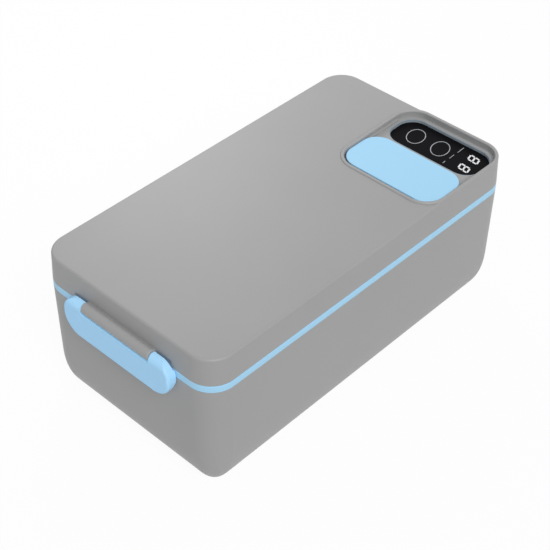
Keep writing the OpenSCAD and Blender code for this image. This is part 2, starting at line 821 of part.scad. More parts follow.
module temperature_sensor() {
    color(steel)
        translate([sensor_xy[0], sensor_xy[1], clamp_z - sensor_r])
            rotate([90, 0, 0]) translate([0, 0, -sensor_l / 2]) cylinder(r = sensor_r, h = sensor_l);
}

module power_leads() {
    color("#b03a2e") {
        lead(route_live_in, lead_r);
        lead(route_live_out, lead_r);
        lead(route_return_in, lead_r);
        lead(route_return_out, lead_r);
    }
}

module sensor_lead() {
    color("#e0e0dc") lead(route_sensor, lead_r);
}

module base_contact_block() {
    half = contact_w / 2;
    color(dark)
        translate([0, contact_y, collar_top])
            difference() {
                union() {
                    block([-half, -contact_d / 2, -contact_h], [half, contact_d / 2, 0]);
                    block(
                        [-half - 2, -contact_d / 2 - block_lip, -contact_h],
                        [half + 2, contact_d / 2 + block_lip, -band_h]
                    );
                }
                for (x = contact_xs)
                    translate([x, 0, -1.2]) cylinder(r = contact_r, h = 2);
                for (x = contact_xs)
                    translate([x, 0, -contact_h - 1]) cylinder(r = lead_r + 0.1, h = 2.2);
            }
}

module base_contacts() {
    color("#c8a24a")
        for (x = contact_xs)
            translate([x, contact_y, collar_top - 1.2]) cylinder(r = contact_r, h = 1.2 - contact_sink);
}

// Drawn stainless container with a rolled flange
module food_container() {
    flange_l = mouth_l - 2 * flange_in;
    flange_w = mouth_w - 2 * flange_in;
    flange_r = mouth_r - flange_in;
    color(steel)
        translate([0, mouth_y, 0]) {
            difference() {
                slab(flange_l - roll_r, flange_w - roll_r, flange_r - roll_r / 2, flange_z, flange_top);
                slab(
                    container_l - container_t, container_w - container_t, container_r - container_t / 2,
                    flange_z - 1, flange_top + 1
                );
            }
            ring(flange_l, flange_w, flange_r) translate([roll_r, roll_z]) circle(r = roll_r);
            dish(container_l, container_w, container_r, container_z, flange_top, container_t, container_t);
        }
}

// Stands across the container, with its foot cut to the container's fillets
module container_divider() {
    y = mouth_y + container_l / 2 - divider_y;
    low = container_z + container_t;
    high = flange_z - 5;
    top_x = container_w / 2 - container_t - pass_gap - dish_draft * 5 / (flange_z - container_z);
    low_x = container_w / 2 - container_t - pass_gap - dish_draft;
    color(steel)
        translate([0, y + divider_t / 2, 0]) rotate([90, 0, 0]) linear_extrude(divider_t)
            polygon([
                [-top_x, high], [-low_x, low + dish_r], [-low_x + dish_r * 0.3, low + dish_r * 0.3],
                [-low_x + dish_r, low], [low_x - dish_r, low], [low_x - dish_r * 0.3, low + dish_r * 0.3],
                [low_x, low + dish_r], [top_x, high]
            ]);
}

module hinge_pin() {
    color(steel) translate([0, hinge_y, hinge_z]) rod_x(hinge_pin_r, hinge_l - 0.4);
}

// ---- Lid ----

// Section of the lid's side: outer face with draft, rounded top edge, inner face
module lid_section() {
    steps = 6;
    drop = lid_top - lid_edge_r;
    polygon(concat(
        [[0, lid_z0]],
        [for (i = [0 : steps])
            [lid_draft + lid_edge_r * (1 - cos(90 * i / steps)), drop + lid_edge_r * sin(90 * i / steps)]],
        [
            [corner_r - 1, lid_top], [corner_r - 1, lid_top - wall],
            [wall + lid_draft, lid_top - wall], [wall, lid_z0]
        ]
    ));
}

// Section of the pocket's rim: straight wall with a full round on top
module rim_section() {
    steps = 10;
    polygon(concat(
        [[0, floor_under]],
        [for (i = [0 : steps])
            [rim_w / 2 * (1 - cos(180 * i / steps)), lid_top + rim_h * sin(180 * i / steps)]],
        [[rim_w, floor_under]]
    ));
}

module at_pocket() {
    translate([pocket_x, pocket_y, 0]) children();
}

module lid_shell() {
    color(grey)
        difference() {
            union() {
                difference() {
                    union() {
                        ring(body_l, body_w, corner_r) lid_section();
                        block(
                            [corner_r - 1.5 - body_w / 2, corner_r - 1.5 - body_l / 2, lid_top - wall],
                            [body_w / 2 - corner_r + 1.5, body_l / 2 - corner_r + 1.5, lid_top]
                        );
                        at_pocket() slab(pocket_l - 1, pocket_w - 1, pocket_r - 0.5, floor_under, floor_z);
                        lid_bosses();
                    }
                    at_pocket() slab(pocket_in_l, pocket_in_w, pocket_in_r, floor_z, rim_top + 1);
                    cover_trench();
                }
                at_pocket() ring(pocket_l, pocket_w, pocket_r) rim_section();
                panel_tray();
                cover_seats();
                latch_bar();
                lid_knuckles();
            }
            panel_cutout();
            translate([pocket_x, socket_y, floor_under - 1])
                cylinder(r = socket_r + 0.1, h = pocket_floor_t + 2);
            translate([pocket_x, pad_axis_y, pad_axis_z])
                rod_x(pad_pin_r, barrel_l + 2 * pass_gap + 2 * post_w + 1);
            for (p = lid_screws_at)
                translate([p[0], p[1], liner_z]) cylinder(r = screw_r, h = 9);
            for (x = board_mount_x)
                for (y = board_mount_y)
                    translate([x, y, board_top - 1]) cylinder(r = small_screw_r, h = 4);
        }
}

// Bosses for the liner's screws and for the board
module lid_bosses() {
    for (p = lid_screws_at)
        translate([p[0], p[1], liner_z + liner_t])
            cylinder(r = boss_r, h = lid_top - 1 - liner_z - liner_t);
    for (x = board_mount_x)
        for (y = board_mount_y)
            translate([x, y, board_top]) cylinder(r = boss_r - 0.5, h = floor_under + 1 - board_top);
}

// Deeper tray under the pocket's floor, which the glass sits in
module panel_tray() {
    translate([pocket_x, panel_y, 0])
        slab(
            panel_w + 2 * panel_wall, panel_l + 2 * panel_wall, panel_r + panel_wall,
            panel_under, floor_z
        );
}

module panel_cutout() {
    translate([pocket_x, panel_y, 0]) {
        slab(panel_w, panel_l, panel_r, glass_seat, floor_z + 1);
        slab(
            panel_w - 2 * panel_bite, panel_l - 2 * panel_bite, panel_r - panel_bite,
            panel_under - 1, glass_seat + 1
        );
    }
}

// Dip in the floor that the cover's back edge turns through
module cover_trench() {
    half = pad_l / 2 - pad_r + sqrt(pad_r * pad_r - pow(pad_r - pad_over, 2)) + 0.6;
    intersection() {
        at_pocket() slab(pocket_in_l, pocket_in_w, pocket_in_r, trench_z, floor_z + 1);
        block(
            [pocket_x - half, pad_axis_y - barrel_r - 0.3, trench_z],
            [pocket_x + half, pad_axis_y + barrel_r + pad_plate + 0.7, floor_z + 1]
        );
    }
}

// Rails that the socket cover's ends rest on, and the two posts of its hinge
module cover_seats() {
    for (x = [-1, 1]) {
        rail_x = pocket_x + x * (pocket_in_w / 2 - rail_w / 2 + 0.25);
        block(
            [rail_x - rail_w / 2 - 0.25, pocket_y - rail_l / 2, floor_z - 0.5],
            [rail_x + rail_w / 2 + 0.25, pocket_y + rail_l / 2, floor_z + rail_h]
        );
        translate([pocket_x + x * (barrel_l / 2 + pass_gap + post_w / 2), pad_axis_y, pad_axis_z])
            along_x(post_w) {
                circle(r = barrel_r);
                cell(-barrel_r, trench_z - pad_axis_z - 0.3, barrel_r, 0);
            }
    }
}

// Bar on the front wall that carries the latch
module latch_bar() {
    translate([0, latch_y, latch_z])
        difference() {
            along_x(bar_l) {
                circle(r = bar_r);
                polygon([
                    [0, lid_z0 - latch_z], [-latch_wall_y + 1, lid_z0 - latch_z],
                    [-latch_wall_y + 1, bar_r * 0.5], [bar_r * sin(12), bar_r * cos(12)], [0, bar_r - 0.1]
                ]);
            }
            rod_x(latch_pin_r, bar_l + 2);
        }
}

// Knuckles of the lid, each with the lug that stops it against the tub
module lid_knuckles() {
    for (k = [-1, 1])
        translate([k * knuckle_pitch, hinge_y, hinge_z])
            difference() {
                along_x(knuckle_w) {
                    circle(r = knuckle_r);
                    cell(-knuckle_r - knuckle_gap - 1, lid_z0 - hinge_z, 0, knuckle_r);
                    rotate(stop_angle) translate([0, -0.8]) square([stop_reach, 1.6]);
                }
                rod_x(hinge_pin_r + pin_gap, knuckle_w + 2);
            }
}

module lid_liner() {
    liner_in = wall + seat_gap;
    color("#d9dadb")
        difference() {
            union() {
                slab(
                    body_l - 2 * liner_in, body_w - 2 * liner_in, corner_r - liner_in,
                    liner_z, liner_z + liner_t
                );
                ring(body_l, body_w, corner_r)
                    cell(liner_in + lid_draft, liner_z + liner_t / 2, liner_in + liner_rib, liner_z + 4);
                for (x = [-1, 1])
                    for (y = [-1, 1])
                        translate([x * stud_x, mouth_y + y * stud_y, 0]) {
                            translate([0, 0, inner_z + inner_lid_t])
                                cylinder(r = 4, h = liner_z + 0.5 - inner_z - inner_lid_t);
                            translate([0, 0, inner_z - 0.6]) cylinder(r = 2.2, h = 4);
                            translate([0, 0, inner_z - 1.3]) cylinder(r = 3.1, h = 1.3);
                        }
            }
            block(
                [-contact_w / 2 - seat_gap, contact_y - contact_d / 2 - seat_gap, liner_z - 1],
                [contact_w / 2 + seat_gap, contact_y + contact_d / 2 + seat_gap, liner_z + liner_t + 1]
            );
            for (p = lid_screws_at)
                translate([p[0], p[1], liner_z - 1]) {
                    cylinder(r = screw_r + seat_gap, h = liner_t + 2);
                    cylinder(r = screw_head_r + seat_gap, h = 1 + screw_head_h);
                }
        }
}

module lid_screws() {
    color(steel)
        for (p = lid_screws_at)
            translate([p[0], p[1], liner_z]) screw(screw_r, liner_t + 5, screw_head_r, screw_head_h);
}

module inner_lid() {
    color("#e9ecee")
        translate([0, mouth_y, 0])
            difference() {
                slab(inner_l, inner_w, inner_r, inner_z, inner_z + inner_lid_t);
                for (x = [-1, 1])
                    for (y = [-1, 1])
                        translate([x * stud_x, y * stud_y, inner_z - 1])
                            cylinder(r = 2.2 + seat_gap, h = inner_lid_t + 2);
                translate([0, valve_y - mouth_y, inner_z - 1]) cylinder(r = 5, h = inner_lid_t + 2);
            }
}

// Seal that wraps the inner lid's edge and lies on the container's flange
module lid_gasket() {
    seal_z = flange_top + pass_gap;
    color("#dfe6ea")
        translate([0, mouth_y, 0])
            ring(inner_l + 2 * gasket_lip, inner_w + 2 * gasket_lip, inner_r + gasket_lip) {
                cell(0, inner_z - 1, gasket_lip, inner_z + inner_lid_t + 0.8);
                cell(0, inner_z - 1, gasket_lip + 3.4, inner_z);
                cell(gasket_lip + 1, seal_z, gasket_lip + 3.4, inner_z - 0.5);
                cell(0, inner_z + inner_lid_t, gasket_lip + 2, inner_z + inner_lid_t + 0.8);
            }
}

module steam_valve() {
    color(blue)
        translate([0, valve_y, 0])
            difference() {
                union() {
                    translate([0, 0, inner_z - 1]) cylinder(r = 6.5, h = 1);
                    translate([0, 0, inner_z - 1]) cylinder(r = 5, h = inner_lid_t + 2);
                    translate([0, 0, inner_z + inner_lid_t]) cylinder(r = 6.2, h = 1);
                }
                for (turn = [0, 90])
                    rotate([0, 0, turn]) block([-2.4, -0.25, inner_z - 2], [2.4, 0.25, inner_z + 4]);
            }
}

module control_board() {
    color("#2f6b45")
        difference() {
            translate([(board_x0 + board_x1) / 2, (board_y0 + board_y1) / 2, 0])
                slab(board_y1 - board_y0, board_x1 - board_x0, board_r, board_z, board_top);
            translate([pocket_x, socket_y, board_z - 1]) cylinder(r = socket_r + pass_gap, h = board_t + 2);
            for (x = board_mount_x)
                for (y = board_mount_y)
                    translate([x, y, board_z - 1]) cylinder(r = small_screw_r + seat_gap, h = board_t + 2);
        }
}

// Chips, capacitors, relay and the plug of the leads
module board_parts() {
    color(dark) {
        translate([board_x0 + 14, board_y0 + 27, board_top]) {
            block([-5, -5, 0], [5, 5, 1.4]);
            block([9, -3, 0], [13, 3, 1.2]);
        }
        translate([pocket_x + 13, socket_y - 6, board_top]) block([0, 0, 0], [10, 14, 3.6]);
        for (y = [0, 5])
            translate([board_x0 + 33, board_y0 + 23.5 + y, board_top + 2])
                rotate([0, 90, 0]) cylinder(r = 2, h = 7);
        translate([plug_xy[0], plug_xy[1], board_top]) block([-3, -4, 0], [3, 4, 3.2]);
    }
}

module board_screws() {
    color(steel)
        for (x = board_mount_x)
            for (y = board_mount_y)
                translate([x, y, board_z - small_head_h])
                    screw(small_screw_r, board_t + 2.6, small_head_r, small_head_h);
}

module digit_display() {
    color("#e8e8e8")
        block([digits_x - 5.5, digits_y - 8, board_top], [digits_x + 5.5, digits_y + 8, glass_seat]);
}

module touch_springs() {
    color("#c8a24a")
        for (x = ring_x)
            translate([x, ring_y, board_top])
                difference() {
                    cylinder(r = 3.6, h = glass_seat - board_top);
                    translate([0, 0, -1]) cylinder(r = 2.8, h = glass_seat - board_top + 2);
                }
}

module buzzer() {
    color(dark)
        translate([pocket_x - 13, board_y0 + 9, board_top])
            difference() {
                cylinder(r = 4.5, h = 3.4);
                translate([0, 0, 2.4]) cylinder(r = 0.9, h = 2);
            }
}

module touch_panel() {
    edge = gasket_w + 0.05;
    color("#17181a")
        translate([pocket_x, panel_y, 0])
            slab(panel_w - 2 * edge, panel_l - 2 * edge, panel_r - edge, glass_seat, glass_z);
}

module panel_gasket() {
    color("#6f8796")
        translate([pocket_x, panel_y, 0])
            ring(panel_w, panel_l, panel_r) cell(0, glass_seat, gasket_w, floor_z - 0.3);
}

module power_socket() {
    color(dark)
        translate([pocket_x, socket_y, 0])
            difference() {
                union() {
                    translate([0, 0, floor_z]) cylinder(r = socket_flange_r, h = socket_flange_h);
                    translate([0, 0, floor_z + socket_flange_h - socket_depth - 1.2])
                        cylinder(r = socket_r, h = socket_depth + 1.2);
                }
                translate([0, 0, floor_z + socket_flange_h - socket_depth])
                    cylinder(r = socket_bore_r, h = socket_depth + 1);
                translate([0, 0, floor_z + socket_flange_h - socket_depth - 2]) cylinder(r = 1, h = 3);
            }
}

// Centre pin of the socket
module socket_contacts() {
    foot = floor_z + socket_flange_h - socket_depth - 1.2;
    color("#c8a24a")
        translate([pocket_x, socket_y, foot]) cylinder(r = 1, h = socket_depth + 0.4);
}

module cover_pin() {
    color(steel)
        translate([pocket_x, pad_axis_y, pad_axis_z])
            rod_x(pad_pin_r, barrel_l + 2 * pass_gap + 2 * post_w);
}

module lid_contact_block() {
    half = contact_w / 2;
    color(dark)
        translate([0, contact_y, liner_z])
            difference() {
                union() {
                    block([-half, -contact_d / 2, 0], [half, contact_d / 2, lid_block_h]);
                    block(
                        [-half - 2, -contact_d / 2 - 0.8, liner_t],
                        [half + 2, contact_d / 2 + 0.8, liner_t + 1.4]
                    );
                }
                for (x = contact_xs)
                    translate([x, 0, -1]) cylinder(r = contact_r * 0.7, h = 4);
                translate([lid_lead_x, 0, lid_block_h - 0.8]) cylinder(r = lead_r + 0.1, h = 2);
            }
}

module lid_contact_pins() {
    tip = collar_top - contact_sink + pass_gap;
    color("#c8a24a")
        for (x = contact_xs)
            translate([x, contact_y, tip]) cylinder(r = contact_r * 0.7, h = liner_z + 3 - tip);
}

module lid_leads() {
    color("#b03a2e") lead(route_lid, lead_r);
}

module latch_pin() {
    color(steel)
        translate([0, latch_y, latch_z]) rod_x(latch_pin_r, latch_w - 2 * pin_blind - 0.4);
}

// ---- Latch ----

// Outline of the latch seen from the front, x and height above the pin
module latch_outline() {
    half = latch_w / 2;
    difference() {
        union() {
            cell(-half + latch_low_r, latch_low, half - latch_low_r, ear_r);
            cell(-half, latch_low + latch_low_r, half, ear_r - latch_top_r);
            cell(-half + latch_top_r, latch_low + latch_low_r, half - latch_top_r, ear_r);
            for (x = [-1, 1]) {
                translate([x * (half - latch_low_r), latch_low + latch_low_r]) circle(r = latch_low_r);
                translate([x * (half - latch_top_r), ear_r - latch_top_r]) circle(r = latch_top_r);
            }
        }
        cell(-ear_x, notch_z, ear_x, ear_r + 1);
    }
}

// Side section of the latch, y and height from the pin: rounded ear, thick part, lip
module latch_side() {
    round_y = latch_front + ear_round_r;
    round_z = ear_r - ear_round_r;
    circle(r = ear_r);
    intersection() {
        translate([round_y, round_z]) circle(r = ear_round_r);
        cell(latch_front - 1, round_z, 0.2, ear_r + 1);
    }
    cell(latch_front, latch_step, 0, round_z + 0.01);
    cell(-1, latch_step, latch_back, -1);
    cell(latch_front, latch_low, latch_front + latch_plate, latch_step + 1);
}

module latch() {
    hollow_z = latch_step + latch_plate;
    color(blue)
        translate([0, latch_y, latch_z])
            difference() {
                intersection() {
                    translate([0, latch_back + 1, 0])
                        rotate([90, 0, 0]) linear_extrude(latch_back + 2 - latch_front) latch_outline();
                    along_x(latch_w + 2) latch_side();
                }
                block([-ear_x, latch_front + latch_plate, hollow_z], [ear_x, latch_back + 1, ear_r + 1]);
                block(
                    [-catch_w / 2 - 1, -latch_wall_y - catch_reach - pass_gap, latch_step - 1],
                    [catch_w / 2 + 1, latch_back + 1, hollow_z + 1]
                );
                rod_x(bar_r + pass_gap, 2 * ear_x);
                rod_x(latch_pin_r + pin_gap, latch_w - 2 * pin_blind);
            }
}

// ---- Socket cover ----

module socket_cover() {
    color(blue)
        difference() {
            union() {
                translate([pocket_x, pad_y, 0]) slab(pad_w, pad_l, pad_r, pad_under, pad_top);
                translate([pocket_x, pad_axis_y, pad_axis_z])
                    along_x(barrel_l) {
                        circle(r = barrel_r);
                        cell(-barrel_r, 0, 0, pad_under + 0.5 - pad_axis_z);
                    }
            }
            translate([pocket_x, pad_axis_y, pad_axis_z]) rod_x(pad_pin_r + pin_gap, barrel_l + 2);
        }
}

base_shell();
bottom_cover();
bottom_screws();
rubber_feet();
rim_collar();
collar_screws();
heating_pan();
heater_plate();
heater_clamp();
clamp_nuts();
insulation_pad();
thermostat();
thermal_fuse();
temperature_sensor();
power_leads();
sensor_lead();
base_contact_block();
base_contacts();
food_container();
container_divider();
hinge_pin();
lid_shell();
lid_liner();
lid_screws();
inner_lid();
lid_gasket();
steam_valve();
control_board();
board_parts();
board_screws();
digit_display();
touch_springs();
buzzer();
touch_panel();
panel_gasket();
power_socket();
socket_contacts();
cover_pin();
lid_contact_block();
lid_contact_pins();
lid_leads();
latch_pin();
latch();
socket_cover();
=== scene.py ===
import math

import bmesh
import bpy
from mathutils import Matrix, Vector


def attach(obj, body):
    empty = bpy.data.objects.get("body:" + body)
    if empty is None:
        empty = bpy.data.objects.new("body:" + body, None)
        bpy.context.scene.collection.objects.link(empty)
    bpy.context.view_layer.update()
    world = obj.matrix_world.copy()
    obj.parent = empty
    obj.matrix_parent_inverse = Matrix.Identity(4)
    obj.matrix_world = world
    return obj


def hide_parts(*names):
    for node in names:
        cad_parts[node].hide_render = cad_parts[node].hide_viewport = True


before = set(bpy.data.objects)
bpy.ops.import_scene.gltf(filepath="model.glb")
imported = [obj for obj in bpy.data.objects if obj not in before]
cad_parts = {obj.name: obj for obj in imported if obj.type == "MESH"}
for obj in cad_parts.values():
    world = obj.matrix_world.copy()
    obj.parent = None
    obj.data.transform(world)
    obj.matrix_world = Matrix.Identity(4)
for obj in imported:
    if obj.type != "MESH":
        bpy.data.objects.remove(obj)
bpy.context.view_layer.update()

# ---- Sizes in millimetres, the same as the solids have ----
MM = 0.001

# Tub, and the hatch that its bottom cover fills
BODY_W, BODY_L, CORNER_R, WALL = 125.0, 232.4, 14.9, 2.4
TUB_TOP, TUB_FOOT, FLOOR_TOP, TUCK_TOP = 72.3, 0.8, 3.8, 29.0
HATCH_W, HATCH_L, HATCH_R, HATCH_LIP, HATCH_SEAT = 67.4, 174.8, 2.7, 6.2, 3.0
BASE_SCREWS = [(x, y) for x in (-30.5, 30.5) for y in (-84.2, 0.0, 84.2)]
FEET = [(x, y) for x in (-43.5, 43.5) for y in (-97.2, 97.2)]
BOSS_R = 3.5

# Band with the mouth, and the container that hangs in it
BAND_TOP = 76.5
MOUTH_W, MOUTH_L, MOUTH_R = 115.0, 210.4, 9.9
MOUTH_CENTRE = (0.0, -6.0)
LEDGE_Z, LEDGE_W, LEDGE_T = 68.0, 4.2, 1.8
COLLAR_SCREWS = [(x, 105.2) for x in (-40.5, 40.5)]
BOWL_W, BOWL_L, BOWL_R, BOWL_FOOT, BOWL_TOP, BOWL_T = 102.2, 197.6, 15.2, 17.2, 70.2, 0.8
LIP_W, LIP_L, LIP_R = 114.0, 209.4, 9.4

# Lid, its pocket and the panel in it
LID_FOOT, LID_TOP, LID_DRAFT, LID_EDGE = 76.7, 93.5, 0.6, 1.3
POCKET_W, POCKET_L, POCKET_R, RIM_W, RIM_H = 69.7, 70.5, 14.3, 2.1, 1.0
POCKET_X, POCKET_Y = 27.05, 80.35
FLOOR_Z, FLOOR_UNDER = 90.1, 88.1
PANEL_L, PANEL_W, PANEL_R, PANEL_Y = 62.0, 26.8, 11.0, 98.3
GLASS_Z, GLASS_SEAT, TRAY_UNDER, SEAL_GAP = 88.3, 86.3, 84.8, 0.55
LINER_Z, LID_SCREW_X, LID_SCREW_Y = 76.9, 52.72, 105.13
LID_SCREWS = [
    (x, y) for x in (-LID_SCREW_X, LID_SCREW_X) for y in (-LID_SCREW_Y, -LID_SCREW_Y / 3, LID_SCREW_Y / 3)
]
LID_SCREWS += [(-LID_SCREW_X, LID_SCREW_Y), (-LID_SCREW_X / 2.4, LID_SCREW_Y)]

# Inner lid and its seal
INNER_Z, INNER_T, INNER_W, INNER_L, INNER_R, SEAL_T = 72.22, 1.6, 111.2, 206.6, 8.0, 1.2

# Moving pieces, each with its pin as (y, z)
HINGE_PIN, KNUCKLE_R, KNUCKLE_W, KNUCKLE_PITCH = (119.3, 76.6), 2.7, 11.68, 12.08
LATCH_PIN, LATCH_W, BAR_L, BAR_R = (-118.7, 79.2), 77.0, 48.8, 3.3
PAD_PIN, PAD_L, PAD_W, PAD_R, PAD_Y, PAD_TOP, PAD_UNDER = (80.2, 90.6), 64.7, 32.1, 11.0, 65.25, 92.9, 91.7

CORNER_STEPS = 20


# ---- Mesh tools ----
def outline(width, length, radius, centre):
    """A rounded rectangle as plan points, anticlockwise from its +X side."""
    radius = max(radius, 0.15)
    points = []
    for turn, (sx, sy) in enumerate(((1, 1), (-1, 1), (-1, -1), (1, -1))):
        cx = centre[0] + sx * (width / 2 - radius)
        cy = centre[1] + sy * (length / 2 - radius)
        for i in range(CORNER_STEPS + 1):
            a = math.pi / 2 * (turn + i / CORNER_STEPS)
            points.append((cx + radius * math.cos(a), cy + radius * math.sin(a)))
    return points


def rings_of(width, length, radius, centre=(0.0, 0.0)):
    """Gives the loft levels of one rounded rectangle, by how far they are inset and by height."""
    def at(inset, z):
        plan = outline(width - 2 * inset, length - 2 * inset, radius - inset, centre)
        return [(x, y, z) for x, y in plan]

    return at


body_ring = rings_of(BODY_W, BODY_L, CORNER_R)
hatch_ring = rings_of(HATCH_W, HATCH_L, HATCH_R)
mouth_ring = rings_of(MOUTH_W, MOUTH_L, MOUTH_R, MOUTH_CENTRE)
bowl_ring = rings_of(BOWL_W, BOWL_L, BOWL_R, MOUTH_CENTRE)
lip_ring = rings_of(LIP_W, LIP_L, LIP_R, MOUTH_CENTRE)
pocket_ring = rings_of(POCKET_W, POCKET_L, POCKET_R, (POCKET_X, POCKET_Y))
panel_ring = rings_of(PANEL_L, PANEL_W, PANEL_R, (POCKET_X, PANEL_Y))
inner_ring = rings_of(INNER_W, INNER_L, INNER_R, MOUTH_CENTRE)
seal_ring = rings_of(INNER_W + 2 * SEAL_T, INNER_L + 2 * SEAL_T, INNER_R + SEAL_T, MOUTH_CENTRE)


def levels(ring_at, section):
    """Loft levels from a section of (inset, height) points."""
    return [ring_at(inset, z) for inset, z in section]


def loft(rings, closed=False):
    """A shell through rings of equal count. It is capped at both ends, or joined end to start."""
    count = len(rings[0])
    points = [p for level in rings for p in level]
    faces = []
    for i in range(len(rings) if closed else len(rings) - 1):
        a, b = i * count, (i + 1) % len(rings) * count
        for k in range(count):
            n = (k + 1) % count
            faces.append((a + k, a + n, b + n, b + k))
    if not closed:
        faces.append(tuple(reversed(range(count))))
        faces.append(tuple(range(len(points) - count, len(points))))
    return points, faces


def arc(cx, cz, radius, start, stop, steps):
    """Points of an arc in a section, angles in degrees."""
    turns = [math.radians(start + (stop - start) * i / steps) for i in range(steps + 1)]
    return [(cx + radius * math.cos(a), cz + radius * math.sin(a)) for a in turns]


def disc(radius, steps=40):
    """A full circle as the section of a pin or barrel."""
    return arc(0, 0, radius, 0, 360, steps)[:-1]


def at_pin(pin, section):
    """Moves a section of the Y-Z plane to a pin."""
    return [(pin[0] + y, pin[1] + z) for y, z in section]


def plate(width, length, radius, z0, z1, edge, centre, steps=5):
    """A rounded-rectangle plate whose upper and lower edges are rounded."""
    section = arc(edge, z0 + edge, edge, -90, -180, steps) + arc(edge, z1 - edge, edge, 180, 90, steps)
    return loft(levels(rings_of(width, length, radius, centre), section))


def swept_x(section, x0, x1, edge=0.0):
    """A section of the Y-Z plane, extruded along X; its ends are chamfered by edge."""
    cy = sum(p[0] for p in section) / len(section)
    cz = sum(p[1] for p in section) / len(section)
    reach = max(math.hypot(p[0] - cy, p[1] - cz) for p in section)
    small = 1.0 - edge / reach
    steps = [(x0, 1.0), (x1, 1.0)]
    if edge:
        steps = [(x0, small), (x0 + edge, 1.0), (x1 - edge, 1.0), (x1, small)]
    return loft([[(x, cy + (y - cy) * s, cz + (z - cz) * s) for y, z in section] for x, s in steps])


def box(low, high):
    """A box, for cutting with and for small hidden ribs."""
    (x0, y0, z0), (x1, y1, z1) = low, high
    return loft([[(x0, y0, z), (x1, y0, z), (x1, y1, z), (x0, y1, z)] for z in (z0, z1)])


def turned(x, y, section, steps):
    """A round shell on an upright axis, its section given as (radius, height)."""
    turns = [math.tau * i / steps for i in range(steps)]
    return loft([[(x + r * math.cos(a), y + r * math.sin(a), z) for a in turns] for r, z in section])


def post(x, y, radius, z0, z1, edge=0.0):
    """An upright boss or bore with a chamfer at its top."""
    top = [(radius, z1 - edge), (radius - edge, z1)] if edge else [(radius, z1)]
    return turned(x, y, [(radius, z0)] + top, 32)


def solid(name, *shells):
    """Makes an object of closed shells, in metres, with its faces pointing outwards."""
    bm = bmesh.new()
    for points, faces in shells:
        made = [bm.verts.new(Vector(p) * MM) for p in points]
        for face in faces:
            bm.faces.new([made[i] for i in face])
    bmesh.ops.recalc_face_normals(bm, faces=bm.faces)
    mesh = bpy.data.meshes.new(name)
    bm.to_mesh(mesh)
    bm.free()
    return placed(name, mesh)


def placed(name, data):
    """Puts a mesh, lamp or camera into the scene."""
    obj = bpy.data.objects.new(name, data)
    bpy.context.scene.collection.objects.link(obj)
    return obj


def settle(obj):
    """Applies the modifiers of an object by replacing its mesh with the evaluated one."""
    graph = bpy.context.evaluated_depsgraph_get()
    mesh = bpy.data.meshes.new_from_object(obj.evaluated_get(graph))
    old = obj.data
    obj.modifiers.clear()
    obj.data = mesh
    bpy.data.meshes.remove(old)
    mesh.name = obj.name
    return obj


def combine(obj, operation, *tools):
    """Exact boolean with other objects, which are used up."""
    for tool in tools:
        mod = obj.modifiers.new("cut", "BOOLEAN")
        mod.operation = operation
        mod.solver = "EXACT"
        mod.object = tool
        settle(obj)
        bpy.data.objects.remove(tool)
    return obj


def soften(obj, width, segments, angle):
    """Rounds the edges that are sharper than angle by a width in millimetres."""
    mod = obj.modifiers.new("edge", "BEVEL")
    mod.width = width * MM
    mod.segments = segments
    mod.limit_method = "ANGLE"
    mod.angle_limit = math.radians(angle)
    mod.use_clamp_overlap = True
    mod.harden_normals = False
    return settle(obj)


def merged(name, *objs):
    """Joins objects into one piece."""
    bm = bmesh.new()
    for obj in objs:
        bm.from_mesh(obj.data)
    mesh = bpy.data.meshes.new(name)
    bm.to_mesh(mesh)
    bm.free()
    for obj in objs:
        bpy.data.objects.remove(obj)
    return placed(name, mesh)


def finish_piece(obj, body, finish, replaces=(), angle=32):
    """Smooth shading with sharp creases kept, the finish, and the body it rides on."""
    obj.data.materials.clear()
    obj.data.materials.append(finish)
    obj.data.shade_smooth()
    obj.data.set_sharp_from_angle(angle=math.radians(angle))
    mod = obj.modifiers.new("shading", "WEIGHTED_NORMAL")
    mod.keep_sharp = True
    mod.weight = 80
    settle(obj)
    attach(obj, body)
    if replaces:
        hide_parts(*replaces)


# ---- Materials ----
def tone(text):
    """An sRGB hex colour as linear RGBA."""
    parts = [int(text[i:i + 2], 16) / 255 for i in (1, 3, 5)]
    return tuple(c / 12.92 if c <= 0.04045 else ((c + 0.055) / 1.055) ** 2.4 for c in parts) + (1.0,)


def add(tree, kind, inputs=None, **settings):
    """Adds a node. An input is a value, a socket to link from, or a list of such sockets."""
    node = tree.nodes.new(kind)
    for key, value in settings.items():
        setattr(node, key, value)
    for key, value in (inputs or {}).items():
        sources = value if isinstance(value, list) else [value]
        if isinstance(sources[0], bpy.types.NodeSocket):
            for source in sources:
                tree.links.new(source, node.inputs[key])
        else:
            node.inputs[key].default_value = value
    return node


def new_material(name):
    mat = bpy.data.materials.new(name)
    mat.use_nodes = True
    mat.node_tree.nodes.clear()
    return mat, mat.node_tree


def close(tree, shader):
    add(tree, "ShaderNodeOutputMaterial", {"Surface": shader.outputs[0]})


